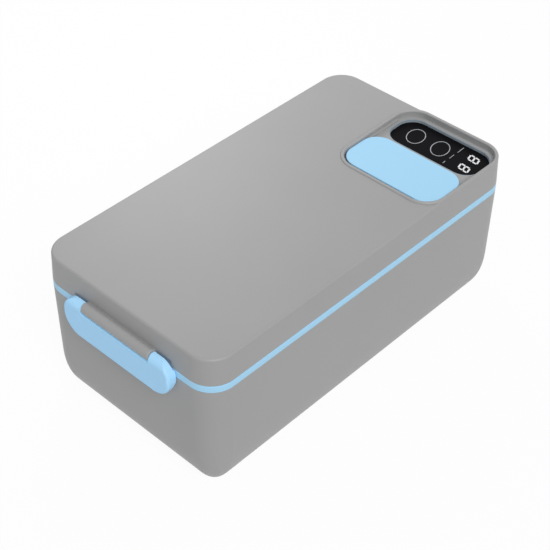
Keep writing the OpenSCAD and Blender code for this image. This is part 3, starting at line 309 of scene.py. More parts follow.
def moulded_plastic(name, colour, grain_mm=0.45, roughness=0.42, drift=0.03, gloss=0.4, painted_glow=None):
    """Injection-moulded plastic from a spark-eroded mould.

    The texture is 0.1 mm on the real one; it is drawn coarser, at grain_mm, so that it just shows.
    A slow drift of a few per cent in the colour is what flow lines leave in a matte moulding.
    The last argument is the colour and strength of a painted glow: an emission that lightens the plastic's
    shaded faces, though it is no lamp.
    """
    grain_depth, flow_mm = 0.012, 38
    mat, tree = new_material(name)
    place = add(tree, "ShaderNodeTexCoord").outputs["Object"]
    grain = add(tree, "ShaderNodeTexNoise", {
        "Vector": place, "Scale": 1 / (grain_mm * MM), "Detail": 2.0, "Roughness": 0.55,
    })
    flow = add(tree, "ShaderNodeTexNoise", {
        "Vector": place, "Scale": 1 / (flow_mm * MM), "Detail": 1.5, "Roughness": 0.5,
    })
    base = tone(colour)
    dark = tuple(c * (1 - drift) for c in base[:3]) + (1.0,)
    light = tuple(min(1.0, c * (1 + drift)) for c in base[:3]) + (1.0,)
    tint = add(tree, "ShaderNodeMix", {0: flow.outputs["Fac"], 6: dark, 7: light}, data_type="RGBA")
    sheen = add(tree, "ShaderNodeMapRange", {
        "Value": grain.outputs["Fac"], "To Min": roughness - 0.04, "To Max": roughness + 0.06,
    })
    bump = add(tree, "ShaderNodeBump", {
        "Height": grain.outputs["Fac"], "Strength": 0.35, "Distance": grain_depth * MM,
    })
    values = {
        "Base Color": tint.outputs[2], "Roughness": sheen.outputs["Result"],
        "Normal": bump.outputs["Normal"], "IOR": 1.5, "Specular IOR Level": gloss,
    }
    # Painted glow: an emission that lifts the colour in shade
    if painted_glow:
        values["Emission Color"] = tone(painted_glow[0])
        values["Emission Strength"] = painted_glow[1]
    close(tree, add(tree, "ShaderNodeBsdfPrincipled", values))
    return mat


def brushed_metal(name, colour, roughness, line_mm, along, depth=0.004):
    """Sheet or bar metal with the fine parallel lines of brushing or drawing.

    The lines are line_mm apart and depth deep. along is the scale of the pattern on each axis; a
    small one draws the lines out on that axis.
    """
    mat, tree = new_material(name)
    place = add(tree, "ShaderNodeTexCoord")
    stretch = add(tree, "ShaderNodeMapping", {"Vector": place.outputs["Object"], "Scale": along})
    lines = add(tree, "ShaderNodeTexNoise", {
        "Vector": stretch.outputs["Vector"], "Scale": 1 / (line_mm * MM), "Detail": 3.0, "Roughness": 0.6,
    })
    sheen = add(tree, "ShaderNodeMapRange", {
        "Value": lines.outputs["Fac"], "To Min": roughness - 0.07, "To Max": roughness + 0.09,
    })
    bump = add(tree, "ShaderNodeBump", {
        "Height": lines.outputs["Fac"], "Strength": 0.25, "Distance": depth * MM,
    })
    close(tree, add(tree, "ShaderNodeBsdfPrincipled", {
        "Base Color": tone(colour), "Metallic": 1.0, "Roughness": sheen.outputs["Result"],
        "Normal": bump.outputs["Normal"],
    }))
    return mat


def soft_rubber(name, colour, roughness, translucent=0.0):
    """Silicone or rubber: matte, with the 0.8 mm unevenness that talc leaves in the mould."""
    speck_mm, speck_depth, reach = 0.8, 0.02, 2
    mat, tree = new_material(name)
    place = add(tree, "ShaderNodeTexCoord")
    speck = add(tree, "ShaderNodeTexNoise", {
        "Vector": place.outputs["Object"], "Scale": 1 / (speck_mm * MM), "Detail": 3.0,
    })
    sheen = add(tree, "ShaderNodeMapRange", {
        "Value": speck.outputs["Fac"], "To Min": roughness - 0.08, "To Max": roughness + 0.1,
    })
    bump = add(tree, "ShaderNodeBump", {
        "Height": speck.outputs["Fac"], "Strength": 0.2, "Distance": speck_depth * MM,
    })
    close(tree, add(tree, "ShaderNodeBsdfPrincipled", {
        "Base Color": tone(colour), "Roughness": sheen.outputs["Result"], "Normal": bump.outputs["Normal"],
        "IOR": 1.41, "Subsurface Weight": translucent, "Subsurface Radius": (reach * MM,) * 3,
    }))
    return mat


def fibre_felt(name, colour, shadow):
    """Needled glass-fibre felt: crossing fibres about 0.4 mm apart, fully matte."""
    fibre_mm, fibre_depth = 0.4, 0.3
    mat, tree = new_material(name)
    place = add(tree, "ShaderNodeTexCoord")
    fibres = add(tree, "ShaderNodeTexNoise", {
        "Vector": place.outputs["Object"], "Scale": 1 / (fibre_mm * MM), "Detail": 6.0, "Distortion": 2.5,
    })
    tint = add(tree, "ShaderNodeMix", {
        0: fibres.outputs["Fac"], 6: tone(shadow), 7: tone(colour),
    }, data_type="RGBA")
    bump = add(tree, "ShaderNodeBump", {
        "Height": fibres.outputs["Fac"], "Strength": 0.8, "Distance": fibre_depth * MM,
    })
    close(tree, add(tree, "ShaderNodeBsdfPrincipled", {
        "Base Color": tint.outputs[2], "Roughness": 0.95, "Normal": bump.outputs["Normal"],
    }))
    return mat


def coated_panel(name, colour):
    """Acrylic sheet with an anti-glare coat: hardly a reflection, and a faint waviness 6 mm across."""
    wave_mm, wave_depth = 6, 0.02
    mat, tree = new_material(name)
    place = add(tree, "ShaderNodeTexCoord")
    waves = add(tree, "ShaderNodeTexNoise", {
        "Vector": place.outputs["Object"], "Scale": 1 / (wave_mm * MM),
    })
    bump = add(tree, "ShaderNodeBump", {
        "Height": waves.outputs["Fac"], "Strength": 0.05, "Distance": wave_depth * MM,
    })
    close(tree, add(tree, "ShaderNodeBsdfPrincipled", {
        "Base Color": tone(colour), "Roughness": 0.3, "Specular IOR Level": 0.04,
        "Normal": bump.outputs["Normal"], "IOR": 1.49,
    }))
    return mat


def printed_ink(name, colour, thin):
    """Screen-printed ink: the weave of the screen, 0.1 mm and drawn at 0.3, leaves thin spots."""
    weave_mm = 0.3
    mat, tree = new_material(name)
    place = add(tree, "ShaderNodeTexCoord")
    weave = add(tree, "ShaderNodeTexNoise", {
        "Vector": place.outputs["Object"], "Scale": 1 / (weave_mm * MM),
    })
    tint = add(tree, "ShaderNodeMix", {
        0: weave.outputs["Fac"], 6: tone(thin), 7: tone(colour),
    }, data_type="RGBA")
    close(tree, add(tree, "ShaderNodeBsdfPrincipled", {"Base Color": tint.outputs[2], "Roughness": 0.35}))
    return mat


# ABS for the housing: dull, with broad soft highlights along the rounded edges
abs_grey = moulded_plastic("moulded_abs_grey", "#a6a6a6")
# The blue ABS carries a faint painted glow, an emission that lifts its colour in shade
abs_blue = moulded_plastic("moulded_abs_sky_blue", "#acdfff", drift=0.01, painted_glow=("#83d0ff", 0.02))
# Polypropylene for the latch, waxier than ABS: no mirror image of the room, and a painted glow, an emission
# that keeps its colour clear in shade
pp_blue = moulded_plastic(
    "moulded_pp_sky_blue", "#b2dfff", drift=0.01, gloss=0.1, painted_glow=("#7ccaff", 0.12))
# Polypropylene round the food: clean whites, the inner lid a little smoother than the liner
pp_liner = moulded_plastic("moulded_pp_liner_white", "#dcdee0", drift=0.01)
pp_inner = moulded_plastic("moulded_pp_inner_lid_white", "#e9ecee", roughness=0.36, drift=0.01)
# Nylon for sockets, blocks and switches: near black, greyer where it is rougher. The display is white
nylon_black = moulded_plastic("moulded_nylon_black", "#232427", roughness=0.45, drift=0.05)
nylon_white = moulded_plastic("moulded_display_white", "#e2e4e4", roughness=0.4)
# Solder mask: a wet shine, and blotches of lighter green where copper lies under it
solder_mask = moulded_plastic("solder_mask_green", "#1f5c3a", grain_mm=1.2, roughness=0.3, drift=0.12)
# Fired ceramic: chalky, with darker and lighter patches from the kiln
ceramic = moulded_plastic("fired_ceramic_buff", "#ded6c2", grain_mm=0.7, roughness=0.7, drift=0.06)

# Drawn stainless sheet: bright, with streaks along the draw that blur what it reflects
stainless = brushed_metal("drawn_stainless_304", "#d2d4d5", 0.25, 0.5, (1.0, 0.04, 1.0), depth=0.0007)
# Mill-finished aluminium: greyer and duller than stainless, its streaks run up the walls
aluminium = brushed_metal("drawn_aluminium_pan", "#cfd0d2", 0.36, 0.6, (1.0, 1.0, 0.08))
# Zinc plate and gold plate on small parts: satin, with fine lines along their height
zinc_steel = brushed_metal("zinc_plated_steel", "#c3c6ca", 0.34, 0.3, (1.0, 1.0, 0.2))
gold_plate = brushed_metal("gold_plated_brass", "#d9b766", 0.28, 0.3, (1.0, 1.0, 0.2))

# Silicones: light gets into the milky seal and the blue valve; the leads and the heater are opaque
silicone_clear = soft_rubber("moulded_silicone_milky", "#e4eaec", 0.5, translucent=0.3)
silicone_blue = soft_rubber("moulded_silicone_blue", "#a4cfee", 0.55, translucent=0.15)
silicone_red = soft_rubber("extruded_silicone_red", "#a9382c", 0.5)
silicone_white = soft_rubber("extruded_silicone_white", "#dedfdc", 0.5)
silicone_brown = soft_rubber("ribbed_silicone_heater", "#9c5a30", 0.6)
# The rubber soles have no shine at all; the panel's thin seal shows as a blue-grey hairline
rubber_black = soft_rubber("moulded_rubber_black", "#2b2c2e", 0.75)
seal_blue = soft_rubber("moulded_tpe_seal_blue", "#98a5af", 0.6)
# Felt: straw-white fibres over darker gaps
felt = fibre_felt("needled_glass_felt", "#ece8dc", "#cfc8b8")

# The panel stays black under the white room, so that only its printing shows
acrylic_black = coated_panel("coated_acrylic_black", "#0d0d10")
ink_white = printed_ink("screen_ink_white", "#ffffff", "#eceef1")
ink_grey = printed_ink("screen_ink_grey", "#d0d3d7", "#9fa2a7")

# The CAD nodes that are shown as they are
CARRIED_OVER = (
    (abs_grey, ("bottom_cover",)),
    (pp_liner, ("lid_liner",)),
    (nylon_black, (
        "thermostat", "base_contact_block", "lid_contact_block", "board_parts", "buzzer", "power_socket",
    )),
    (nylon_white, ("digit_display",)),
    (solder_mask, ("control_board",)),
    (ceramic, ("thermal_fuse",)),
    (stainless, ("temperature_sensor", "container_divider", "hinge_pin", "cover_pin", "latch_pin")),
    (aluminium, ("heating_pan",)),
    (zinc_steel, ("heater_clamp", "clamp_nuts", "board_screws")),
    (gold_plate, ("base_contacts", "lid_contact_pins", "socket_contacts", "touch_springs")),
    (silicone_blue, ("steam_valve",)),
    (silicone_red, ("power_leads", "lid_leads")),
    (silicone_white, ("sensor_lead",)),
    (silicone_brown, ("heater_plate",)),
    (seal_blue, ("panel_gasket",)),
    (felt, ("insulation_pad",)),
)
for finish, nodes in CARRIED_OVER:
    for node in nodes:
        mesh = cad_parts[node].data
        mesh.materials.clear()
        mesh.materials.append(finish)


# ---- Tub ----
def tub_inset(z):
    """How far in the tub's side is at height z: slight draft, then a soft tuck towards the foot."""
    draft, tuck_depth = 0.019, 9.0
    tuck = max(0.0, (TUCK_TOP - z) / TUCK_TOP)
    return draft * (TUB_TOP - z) + tuck_depth * tuck ** 3


def bracket(x, section):
    """Carries one knuckle of the lid hinge; its section is given from the pin."""
    half = KNUCKLE_W / 2 - 0.2
    return swept_x(at_pin(HINGE_PIN, section), x - half, x + half)


def barrel(x):
    """One knuckle of the lid hinge, round the steel pin."""
    half = KNUCKLE_W / 2
    return swept_x(at_pin(HINGE_PIN, disc(KNUCKLE_R)), x - half, x + half, 0.3)


def make_tub():
    """The grey wall with its soft lower edge, the ledge for the latch, bosses and hinge knuckles."""
    tuck_steps, floor_in = 16, 13.9
    outer = [(0.5, TUB_TOP), (0.12, TUB_TOP - 0.1), (0.0, TUB_TOP - 0.45)]
    outer += [(tub_inset(z), z) for z in (64, 56, 48, 40, 34)]
    tuck = [TUCK_TOP - (TUCK_TOP - TUB_FOOT) * i / tuck_steps for i in range(tuck_steps)]
    outer += [(tub_inset(z), z) for z in tuck]
    outer += [(tub_inset(0.95) + 0.15, 0.86), (tub_inset(TUB_FOOT) + 0.8, TUB_FOOT), (floor_in, TUB_FOOT)]
    hatch = [(0.0, TUB_FOOT), (0.0, HATCH_SEAT), (HATCH_LIP, HATCH_SEAT), (HATCH_LIP, FLOOR_TOP)]
    inner = [(floor_in, FLOOR_TOP)]
    inner += [(tub_inset(max(TUB_FOOT, z - WALL)) + WALL, z) for z in (3.85, 6, 9, 13, 18, 24, 31, 45, 60)]
    inner += [(WALL, TUB_TOP)]
    wall = levels(body_ring, outer) + levels(hatch_ring, hatch) + levels(body_ring, inner)
    shell = solid("tub_wall", loft(wall, closed=True))

    catch = [(-115.4, 66.3), (-117.7, 66.3), (-118.2, 66.7), (-118.2, 67.2), (-116.2, 70.0), (-115.4, 70.0)]
    parts = [swept_x(catch, -18, 18)]
    parts += [post(x, y, BOSS_R, HATCH_SEAT, 8.8, 0.3) for x, y in BASE_SCREWS]
    for x, y in COLLAR_SCREWS:
        parts.append(post(x, y, BOSS_R, 58.3, TUB_TOP))
        parts.append(box((x - 1.2, y, 58.3), (x + 1.2, 115.0, 67.7)))
    carrier = [
        (-3.0, 0.0), (-3.0, -4.4), (-3.9, -4.6), (-3.9, -16.2),
        (0.0, -6.9), (2.55, -1.6), (2.7, -0.3), (1.2, 1.0),
    ]
    for k in (-2, 0, 2):
        parts += [bracket(k * KNUCKLE_PITCH, carrier), barrel(k * KNUCKLE_PITCH)]
    details = soften(solid("tub_details", *parts), 0.25, 2, 40)
    finish_piece(merged("moulded_tub", shell, details), "base", abs_grey, ("base_shell",))


# ---- Band and collar ----
def make_collar():
    """The blue band on the tub, its mouth with the ledge that the container rests on, and a skirt."""
    edge, ledge_under, flange_out = 0.45, LEDGE_Z - LEDGE_T, -1.6
    outer = [(0.35, TUB_TOP), (0.1, TUB_TOP + 0.08), (0.0, TUB_TOP + 0.35)]
    outer += arc(edge, BAND_TOP - edge, edge, 180, 90, 5)
    mouth = [
        (-0.6, BAND_TOP), (-0.25, BAND_TOP - 0.1), (0.0, BAND_TOP - 0.5), (0.0, LEDGE_Z + 0.3),
        (0.3, LEDGE_Z), (LEDGE_W - 0.3, LEDGE_Z), (LEDGE_W, LEDGE_Z - 0.3), (LEDGE_W, ledge_under),
        (flange_out, ledge_under), (flange_out, TUB_TOP),
    ]
    collar = solid("rim_band", loft(levels(body_ring, outer) + levels(mouth_ring, mouth), closed=True))
    combine(collar, "DIFFERENCE", solid("contact_slot", box((-15.2, 101.2, 71), (15.2, 109.2, 78))))
    for x, y in COLLAR_SCREWS:
        combine(collar, "DIFFERENCE", solid("screw_seat", post(x, y, 3.0, BAND_TOP - 1.2, 78)))
    skirt_section = [(2.8, LEDGE_Z), (2.8, TUB_TOP + 0.2), (4.0, TUB_TOP + 0.2), (4.0, LEDGE_Z)]
    skirt = solid("rim_skirt", loft(levels(body_ring, skirt_section), closed=True))
    finish_piece(merged("rim_collar_band", collar, skirt), "base", abs_blue, ("rim_collar",))


# ---- Food container ----
def make_container():
    """A drawn steel bowl: drafted walls, a round foot and an edge rolled outwards."""
    draft, foot_r, roll_r, roll_z = 2.2, 9.0, 0.8, 70.02
    foot = (draft + foot_r, BOWL_FOOT + foot_r)
    inside = arc(*foot, foot_r - BOWL_T, 270, 180, 10)
    inside += [(BOWL_T + 0.12, BOWL_TOP - 1.2), (BOWL_T - 0.2, BOWL_TOP - 0.35), (BOWL_T - 0.9, BOWL_TOP)]
    roll = arc(roll_r, roll_z, roll_r, -290, -60, 10)
    under = BOWL_TOP - BOWL_T
    outside = [(-1.2, under), (-0.3, under - 0.3), (0.0, under - 1.2)]
    outside += arc(*foot, foot_r, 180, 270, 10)
    wall = levels(bowl_ring, inside) + levels(lip_ring, roll) + levels(bowl_ring, outside)
    finish_piece(solid("bowl", loft(wall)), "base", stainless, ("food_container",))


# ---- Lid ----
def make_lid_top():
    """The top and its wall, with the hole for the pocket and a recess behind each of the latch's ears."""
    drop = LID_TOP - LID_EDGE
    inner = [(WALL + LID_DRAFT, LID_TOP - WALL), (WALL, LID_FOOT)]
    outer = [(0.35, LID_FOOT), (0.08, LID_FOOT + 0.08), (0.0, LID_FOOT + 0.35)]
    outer += [(0.3, (LID_FOOT + drop) / 2)]
    outer += [(LID_DRAFT + x, z) for x, z in arc(LID_EDGE, drop, LID_EDGE, 180, 90, 8)]
    lid = solid("lid_top", loft(levels(body_ring, inner + outer)))
    pocket = levels(pocket_ring, [(RIM_W / 2, 80.0), (RIM_W / 2, 100.0)])
    combine(lid, "DIFFERENCE", solid("pocket_space", loft(pocket)))
    for low, high in ((-35.0, -24.6), (24.6, 35.0)):
        combine(lid, "DIFFERENCE", solid("ear_recess", box((low, -117.0, 76.0), (high, -115.1, 81.0))))
    return lid


def make_pocket():
    """The half-round rim of the control pocket, and its floor with the tray for the panel."""
    bead = arc(RIM_W / 2, LID_TOP, RIM_W / 2, 180, 0, 14)
    bead = [(x, LID_TOP + (z - LID_TOP) * RIM_H / (RIM_W / 2)) for x, z in bead]
    rim_section = [(0.0, FLOOR_UNDER)] + bead + [(RIM_W, FLOOR_Z + 0.3), (RIM_W, FLOOR_UNDER)]
    rim = solid("pocket_rim", loft(levels(pocket_ring, rim_section), closed=True))

    outer = [(RIM_W / 2, FLOOR_UNDER), (RIM_W / 2, FLOOR_Z)]
    tray = [
        (-0.35, FLOOR_Z), (-0.08, FLOOR_Z - 0.1), (0.0, FLOOR_Z - 0.35), (0.0, GLASS_SEAT),
        (1.8, GLASS_SEAT), (1.8, TRAY_UNDER), (-1.6, TRAY_UNDER), (-1.6, FLOOR_UNDER),
    ]
    floor = solid("pocket_floor", loft(levels(pocket_ring, outer) + levels(panel_ring, tray), closed=True))
    # The cover's hinge barrel turns in this shallow trench
    trench = levels(rings_of(51.2, 4.2, 1.8, (POCKET_X, 81.0)), [(0.0, 89.1), (0.0, 92.0)])
    combine(floor, "DIFFERENCE", solid("trench", loft(trench)))
    return rim, floor


def make_lid_details():
    """Rails beside the pad, the two seats of its pin, and the screw bosses."""
    rail_w, rail_l, seat_x, seat_r, seat_half = 1.6, POCKET_L - 2 * POCKET_R, 19.5, 1.0, 1.2
    pin_y, pin_z = PAD_PIN
    parts = []
    for side in (-1, 1):
        rail_x = POCKET_X + side * (POCKET_W / 2 - RIM_W - 0.2)
        parts.append(plate(rail_w, rail_l, 0.4, FLOOR_Z - 0.5, FLOOR_Z + 1.5, 0.22, (rail_x, POCKET_Y), 3))
        low, high = POCKET_X + side * seat_x - seat_half, POCKET_X + side * seat_x + seat_half
        parts.append(swept_x(at_pin(PAD_PIN, disc(seat_r, 24)), low, high, 0.15))
        parts.append(box((low, pin_y - seat_r, 88.9), (high, pin_y + seat_r, pin_z)))
    parts += [post(x, y, BOSS_R, 78.5, LID_TOP - 1.5) for x, y in LID_SCREWS]
    return solid("lid_details", *parts)


def make_lid():
    """One moulding: top, pocket, bosses, the latch's bar on the front and two hinge knuckles."""
    # The bar has a half-round front, and a top that slopes down into the lid's wall
    section = arc(0, 0, BAR_R, 78, 311, 36) + [(3.4, -2.49), (3.4, 1.75)]
    bar = solid("latch_bar", swept_x(at_pin(LATCH_PIN, section), -BAR_L / 2, BAR_L / 2))
    soften(bar, 0.5, 4, 40)

    carrier = [(-4.4, 0.15), (-4.4, 3.6), (-3.4, 3.6), (-2.2, 2.75), (0.0, 2.68), (0.0, 0.15)]
    turn = math.radians(-50)
    c, s = math.cos(turn), math.sin(turn)
    lug = [(y * c - z * s, y * s + z * c) for y, z in ((0.0, -0.8), (3.15, -0.8), (3.15, 0.8), (0.0, 0.8))]
    parts = []
    for x in (-KNUCKLE_PITCH, KNUCKLE_PITCH):
        parts += [barrel(x), bracket(x, carrier), bracket(x, lug)]
    knuckles = soften(solid("lid_knuckles", *parts), 0.2, 2, 40)

    piece = merged("moulded_lid", make_lid_top(), *make_pocket(), make_lid_details(), bar, knuckles)
    finish_piece(piece, "lid", abs_grey, ("lid_shell",))


# ---- Latch ----
def latch_outline():
    """Outline of the latch from the front, x and height above the pin, anticlockwise."""
    half, top, low, ear, notch = LATCH_W / 2, 2.3, -20.2, 24.0, -0.6
    r_top, r_low, r_in, r_ear, steps = 9.0, 11.5, 0.8, 1.7, 18
    points = arc(-half + r_low, low + r_low, r_low, 180, 270, steps)
    points += arc(half - r_low, low + r_low, r_low, 270, 360, steps)
    points += arc(half - r_top, top - r_top, r_top, 0, 90, steps)
    points += arc(ear + r_ear, top - r_ear, r_ear, 90, 180, 6)
    points += arc(ear - r_in, notch + r_in, r_in, 0, -90, 4)
    points += arc(-ear + r_in, notch + r_in, r_in, -90, -180, 4)
    points += arc(-ear - r_ear, top - r_ear, r_ear, 0, 90, 6)
    points += arc(-half + r_top, top - r_top, r_top, 90, 180, steps)
    clean = []
    for p in points:
        if not clean or math.hypot(p[0] - clean[-1][0], p[1] - clean[-1][1]) > 0.02:
            clean.append(p)
    return clean


def offset(points, distance):
    """Moves a closed anticlockwise outline inwards along its corner normals."""
    moved = []
    count = len(points)
    for i in range(count):
        before, here, after = points[i - 1], points[i], points[(i + 1) % count]
        a = Vector((here[0] - before[0], here[1] - before[1])).normalized()
        b = Vector((after[0] - here[0], after[1] - here[1])).normalized()
        normal = Vector((-a.y, a.x))
        mean = (normal + Vector((-b.y, b.x))).normalized()
        scale = distance / max(0.35, mean.dot(normal))
        moved.append((here[0] + mean.x * scale, here[1] + mean.y * scale))
    return moved


def make_latch():
    """A rounded plate cut to its side profile, with the notch for the bar and the hook's recess."""
    front, back, edge, edge_steps, inside = -3.3, 3.2, 1.5, 6, 24.7
    pin_y, pin_z = LATCH_PIN

    def swept(name, section, low, high):
        return solid(name, swept_x(at_pin(LATCH_PIN, section), low, high))

    def block(name, half, y0, y1, z0, z1):
        return solid(name, box((-half, pin_y + y0, pin_z + z0), (half, pin_y + y1, pin_z + z1)))

    shape = latch_outline()
    loops = []
    for i in range(edge_steps + 1):
        a = math.pi / 2 * i / edge_steps
        loops.append((front + edge * (1 - math.cos(a)), offset(shape, edge * (1 - math.sin(a)))))
    loops.append((back, shape))
    latch = solid("latch_form", loft([[(x, pin_y + y, pin_z + z) for x, z in loop] for y, loop in loops]))

    side = [(-4.2, -2.6), (-3.36, -2.5)] + arc(1.2, -2.2, 4.5, 176, 90, 16)
    side += [(1.25, 2.22), (1.35, 2.0), (1.35, -2.0), (2.2, -2.8), (2.2, -15.1)]
    side += [(-1.7, -15.1), (-1.7, -22.0), (-4.2, -22.0)]
    combine(latch, "INTERSECT", swept("latch_profile", side, -40, 40))
    # Behind the ends the latch thins out towards its lower corners
    taper = [(4.0, -7.6), (2.3, -7.9), (1.9, -10.0), (1.0, -12.1)]
    taper += [(-0.3, -13.9), (-1.75, -15.2), (4.0, -15.6)]
    combine(
        latch, "DIFFERENCE",
        block("bar_notch", inside, -5.0, 4.0, -3.0, 5.0),
        block("latch_hollow", inside, -1.7, 4.0, -13.5, 5.0),
        block("catch_recess", 19.0, 0.2, 4.0, -16.1, -12.5),
        swept("bar_scoop", disc(BAR_R + 0.3, 64), -inside, inside),
        swept("end_taper", taper, -41.0, -25.3),
        swept("end_taper", taper, 25.3, 41.0),
    )
    finish_piece(latch, "latch", pp_blue, ("latch",), 30)


# ---- Socket cover ----
def make_cover():
    """The blue pad and, under its inner edge, the barrel that it turns on."""
    half, knuckle_r = 18.0, 1.0
    pad = solid("pad", plate(PAD_L, PAD_W, PAD_R, PAD_UNDER, PAD_TOP, 0.5, (POCKET_X, PAD_Y)))
    rise = PAD_UNDER + 0.4 - PAD_PIN[1]
    web = at_pin(PAD_PIN, [(-knuckle_r, 0.0), (0.0, 0.0), (0.0, rise), (-knuckle_r, rise)])
    hinge = solid(
        "pad_hinge",
        swept_x(at_pin(PAD_PIN, disc(knuckle_r, 28)), POCKET_X - half, POCKET_X + half, 0.12),
        swept_x(web, POCKET_X - half, POCKET_X + half),
    )
    finish_piece(merged("inlet_cover", pad, hinge), "cover", abs_blue, ("socket_cover",))


# ---- Touch panel and its marks ----
def make_panel():
    """The black panel, a hair smaller than its tray so that the seal shows round it."""
    size = (PANEL_L - 2 * SEAL_GAP, PANEL_W - 2 * SEAL_GAP, PANEL_R - SEAL_GAP)
    glass = solid("glass", plate(*size, GLASS_SEAT, GLASS_Z, 0.22, (POCKET_X, PANEL_Y), 3))
    finish_piece(glass, "lid", acrylic_black, ("touch_panel",))


def stroke(points, width, closed=False):
    """A flat printed line of even width through plan points."""
    z0, z1 = GLASS_Z + 0.005, GLASS_Z + 0.03
    count = len(points)
    quads = []
    for i, (x, y) in enumerate(points):
        before = points[i - 1] if closed or i else points[i]
        after = points[(i + 1) % count] if closed or i < count - 1 else points[i]
        run = Vector((after[0] - before[0], after[1] - before[1])).normalized() * (width / 2)
        quads.append([
            (x + side * -run.y, y + side * run.x, z) for side, z in ((1, z1), (-1, z1), (-1, z0), (1, z0))
        ])
    return loft(quads, closed=closed)


def digit_eight(cx, cy):
    """Seven segments of a leaning 8 whose foot points to +X and whose right side points to +Y."""
    half_h, half_w, lean_h, lean_w, line, gap_h, gap_w = 3.2, 2.1, 0.3, 0.5, 1.0, 0.1, 0.16

    def at(down, right):
        return cx + half_h * down - lean_w * right, cy - lean_h * down + half_w * right

    segments = [[at(down, -1 + gap_w), at(down, 1 - gap_w)] for down in (-1.0, 0.0, 1.0)]
    for side in (-1, 1):
        segments.append([at(-1 + gap_h, side), at(-gap_h, side)])
        segments.append([at(gap_h, side), at(1 - gap_h, side)])
    return [stroke(segment, line) for segment in segments]


def make_marks():
    """Two leaning oval touch rings, three dashes and two digits."""
    ring_half_l, ring_half_w, ring_line, ring_steps, dash_line = 7.0, 5.2, 0.42, 72, 0.36
    c, s = math.cos(math.radians(-71)), math.sin(math.radians(-71))
    parts = []
    for cx, cy in ((10.25, 98.75), (27.45, 98.95)):
        turns = [math.tau * i / ring_steps for i in range(ring_steps)]
        oval = [(ring_half_l * math.cos(a), ring_half_w * math.sin(a)) for a in turns]
        leaning = [(cx + u * c - v * s, cy + u * s + v * c) for u, v in oval]
        parts.append(stroke(leaning, ring_line, closed=True))
    for y0, y1 in ((102.9, 108.8), (95.6, 99.8), (89.4, 91.8)):
        parts.append(stroke([(36.7, y0), (36.5, y1)], dash_line))
    finish_piece(solid("panel_marks", *parts), "lid", ink_grey)
    digits = solid("panel_digits", *digit_eight(47.2, 103.75), *digit_eight(48.1, 93.8))
    finish_piece(digits, "lid", ink_white)


# ---- Inner lid and its seal ----
def make_inner_lid():
    """The white plate, a stiffening bead on its underside, and holes for the studs and the valve."""
    low, high, middle = INNER_Z, INNER_Z + INNER_T, MOUTH_CENTRE[1]
    section = [
        (20, high), (0.3, high), (0.0, high - 0.3), (0.0, low + 0.3), (0.3, low), (7.0, low),
        (8.0, low - 0.9), (9.2, low - 1.1), (10.4, low - 0.9), (11.4, low), (16.0, low), (20, low),
    ]
    sheet = solid("inner_plate", loft(levels(inner_ring, section)))
    holes = [(x, y, 2.4) for x in (-29.6, 29.6) for y in (middle - 69.3, middle + 69.3)]
    for x, y, radius in holes + [(0.0, -64.0, 5.0)]:
        combine(sheet, "DIFFERENCE", solid("hole", post(x, y, radius, low - 2, high + 2)))
    finish_piece(sheet, "lid", pp_inner, ("inner_lid",))


def make_seal():
    """A clip-on seal: its groove grips the inner lid's edge, and its lip faces the container's rim."""
    low, high, tip = INNER_Z - 1.0, INNER_Z + 2.38, 70.5
    section = [
        (0.25, low), (0.0, low + 0.3), (0.15, low + 1.2), (0.0, low + 2.2), (0.0, high - 0.4), (0.35, high),
        (2.9, high), (3.2, high - 0.3), (3.2, high - 0.8), (SEAL_T, high - 0.8), (SEAL_T, INNER_Z),
        (4.6, INNER_Z), (4.6, tip + 0.5), (4.2, tip), (3.0, tip), (2.4, tip + 0.4), (2.2, low),
    ]
    seal = solid("seal", loft(levels(seal_ring, section), closed=True))
    finish_piece(seal, "lid", silicone_clear, ("lid_gasket",))


